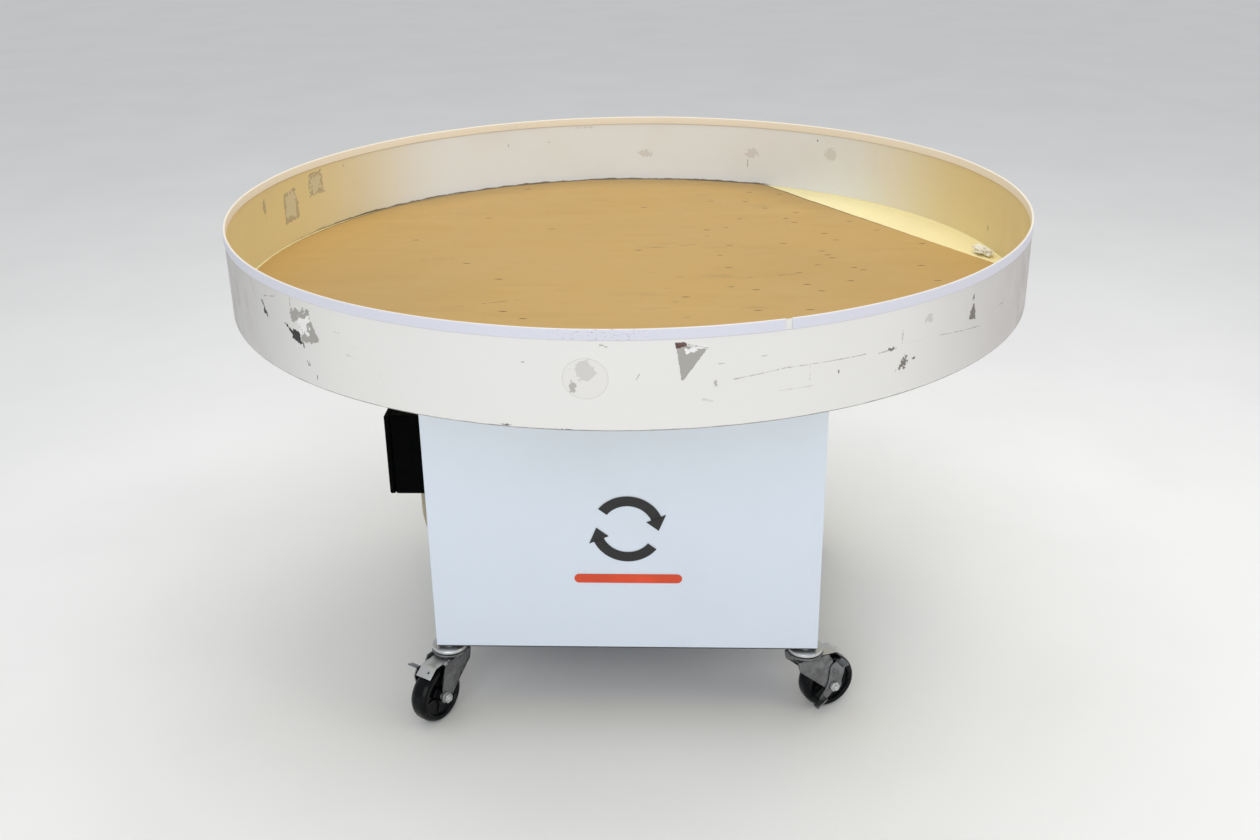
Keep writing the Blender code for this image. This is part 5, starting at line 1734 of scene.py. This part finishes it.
        # Painted shade: the leaf's cut edges take the dark zinc.
        self.add("brake_leaf", carved(leaf, (punch, "DIFFERENCE")), Paint.ZINC,
                 f"{self.corner.value}_swivel", self.matrix, edges=Paint.ZINC_PAINTED_DARK)

    def build_lever(self) -> None:
        """Side brake lever: plate, ribbed foot pedal, release tab and rivet."""
        near = -(self.inner + self.sheet + 0.0003)
        far = near - self.lever_sheet
        outline = [(-0.0300, -0.0220), (-0.0295, -0.0262), (-0.0220, -0.0350), (-0.0020, -0.0150)]
        outline += arc((0.003, 0.0), 0.0155, -60, 20, 10)
        outline += [(0.0215, 0.0200), (0.0235, 0.0300), (0.0255, 0.0400), (0.0245, 0.0450),
                    (0.0180, 0.0555), (0.0060, 0.0560), (-0.0068, 0.0460), (-0.0090, 0.0420),
                    (-0.0120, 0.0120), (-0.0160, 0.0000)]
        hole = arc((0, 0), self.axle_radius + 0.0004, 0, 345, 23)
        plate = moved(slab(outline, self.lever_sheet, [hole], 0.0005), spin(90.0, "X"))
        moved(plate, shift(0.0, (near + far) / 2, 0.0))
        pedal = [block((-0.0140, -0.0020, -0.0013), (0.0140, 0.0130, 0.0013), 0.0010, 3)]
        for rib in range(6):
            x = -0.0112 + 0.0042 * rib
            pedal.append(block((x - 0.0007, -0.0010, 0.0006), (x + 0.0007, 0.0100, 0.0019), 0.0004, 1))
        tread = moved(joined(*pedal), shift(-0.0310, far - 0.0110, -0.0270)
                      @ spin(-36.0, "Y"))
        tab = moved(block((-0.0070, -0.0120, -0.0013), (0.0070, 0.0120, 0.0013), 0.0009, 3),
                    shift(0.0115, far - 0.0100, 0.0548)
                    @ spin(-20.0, "Y"))
        rivet = lathe([(0.0, 0.0026), (0.0020, 0.0024), (0.0036, 0.0014), (0.0042, 0.0), (0.0, 0.0)], 28)
        moved(rivet, shift(-0.0005, far, 0.0340) @ spin(90.0, "X"))
        # Painted highlight on the rivet, tab and sheet edges in bright zinc; the rest takes the dark zinc of
        # painted dark reflection.
        bright(rivet)
        bright(tab)
        self.add("brake_lever", joined(plate, tread, tab, rivet), Paint.ZINC_PAINTED_DARK,
                 f"{self.corner.value}_lever", self.axle_matrix, edges=Paint.ZINC)


# -------------------------------------------------------------------- studio

@dataclass
class Studio:
    """Pale floor, soft lights and the camera."""

    eye: Point = (0.1106, -2.6265, 1.6213)
    yaw: float = -2.458
    pitch: float = 23.695
    roll: float = -0.818
    lens: float = 39.43

    def build_camera(self) -> None:
        """The camera, level with a person looking down at the deck."""
        data = bpy.data.cameras.new("camera")
        data.lens = self.lens
        data.sensor_width = 36.0
        data.sensor_fit = "HORIZONTAL"
        camera = bpy.data.objects.new("camera", data)
        bpy.context.scene.collection.objects.link(camera)
        yaw, pitch, roll = (math.radians(a) for a in (self.yaw, self.pitch, self.roll))
        ahead = Vector((math.sin(yaw) * math.cos(pitch), math.cos(yaw) * math.cos(pitch), -math.sin(pitch)))
        right = Vector((math.cos(yaw), -math.sin(yaw), 0.0))
        up = right.cross(ahead)
        tilted_right = math.cos(roll) * right + math.sin(roll) * up
        tilted_up = -math.sin(roll) * right + math.cos(roll) * up
        turn = Matrix((tilted_right, tilted_up, -ahead)).transposed()
        camera.matrix_world = Matrix.Translation(self.eye) @ turn.to_4x4()
        bpy.context.scene.camera = camera

    def build(self) -> None:
        """Floor, world and lights."""
        bm = bmesh.new()
        bmesh.ops.create_grid(bm, x_segments=2, y_segments=2, size=14.0)
        floor = bpy.data.objects.new("studio_floor", from_bmesh(bm, "studio_floor"))
        floor.data.materials.append(self.paper())
        bpy.context.scene.collection.objects.link(floor)
        world = bpy.data.worlds.new("studio")
        world.use_nodes = True
        back = world.node_tree.nodes["Background"]
        back.inputs["Color"].default_value = (0.97, 0.985, 1.0, 1.0)
        back.inputs["Strength"].default_value = 0.57
        bpy.context.scene.world = world
        self.light("overhead", (0.2, 0.3, 3.6), (0.0, 0.0, 0.8), 3.2, 58.0, (1.0, 0.985, 0.95))
        self.light("front_fill", (-0.6, -4.2, 2.2), (0.0, 0.0, 0.6), 3.0, 51.0, (0.97, 0.985, 1.0))
        self.light("warm_side", (3.6, -1.4, 2.0), (0.3, 0.0, 0.7), 1.6, 13.0, (1.0, 0.94, 0.88))
        bpy.context.scene.view_settings.view_transform = "Standard"

    def paper(self) -> bpy.types.Material:
        """The pale floor's finish."""
        graph = Graph("studio_paper")
        tone = graph.mix(graph.span(graph.grain(2.0), 0.3, 0.7), (0.93, 0.93, 0.93), (0.96, 0.96, 0.96))
        return graph.finish(Base_Color=tone, Roughness=0.9)

    def light(self, name: str, place: Point, aim: Point, size: float, power: float,
              colour: Point) -> None:
        """One soft square light.

        Args:
            name: The light's name.
            place: Where it stands.
            aim: Where it points.
            size: Width of the square.
            power: Watts.
            colour: Its colour.
        """
        data = bpy.data.lights.new(name, "AREA")
        data.shape = "SQUARE"
        data.size = size
        data.energy = power
        data.color = colour
        lamp = bpy.data.objects.new(name, data)
        lamp.location = place
        lamp.rotation_euler = (Vector(aim) - Vector(place)).to_track_quat("-Z", "Y").to_euler()
        bpy.context.scene.collection.objects.link(lamp)


def main() -> None:
    """Build the studio and every sub-assembly."""
    logging.basicConfig(level=logging.INFO, format="%(message)s")
    studio = Studio()
    studio.build_camera()
    Deck().build()
    Cabinet().build()
    Drive().build()
    ControlBox().build()
    for corner in Corner:
        Caster(corner).build()
    studio.build()


if __name__ == "__main__":
    main()
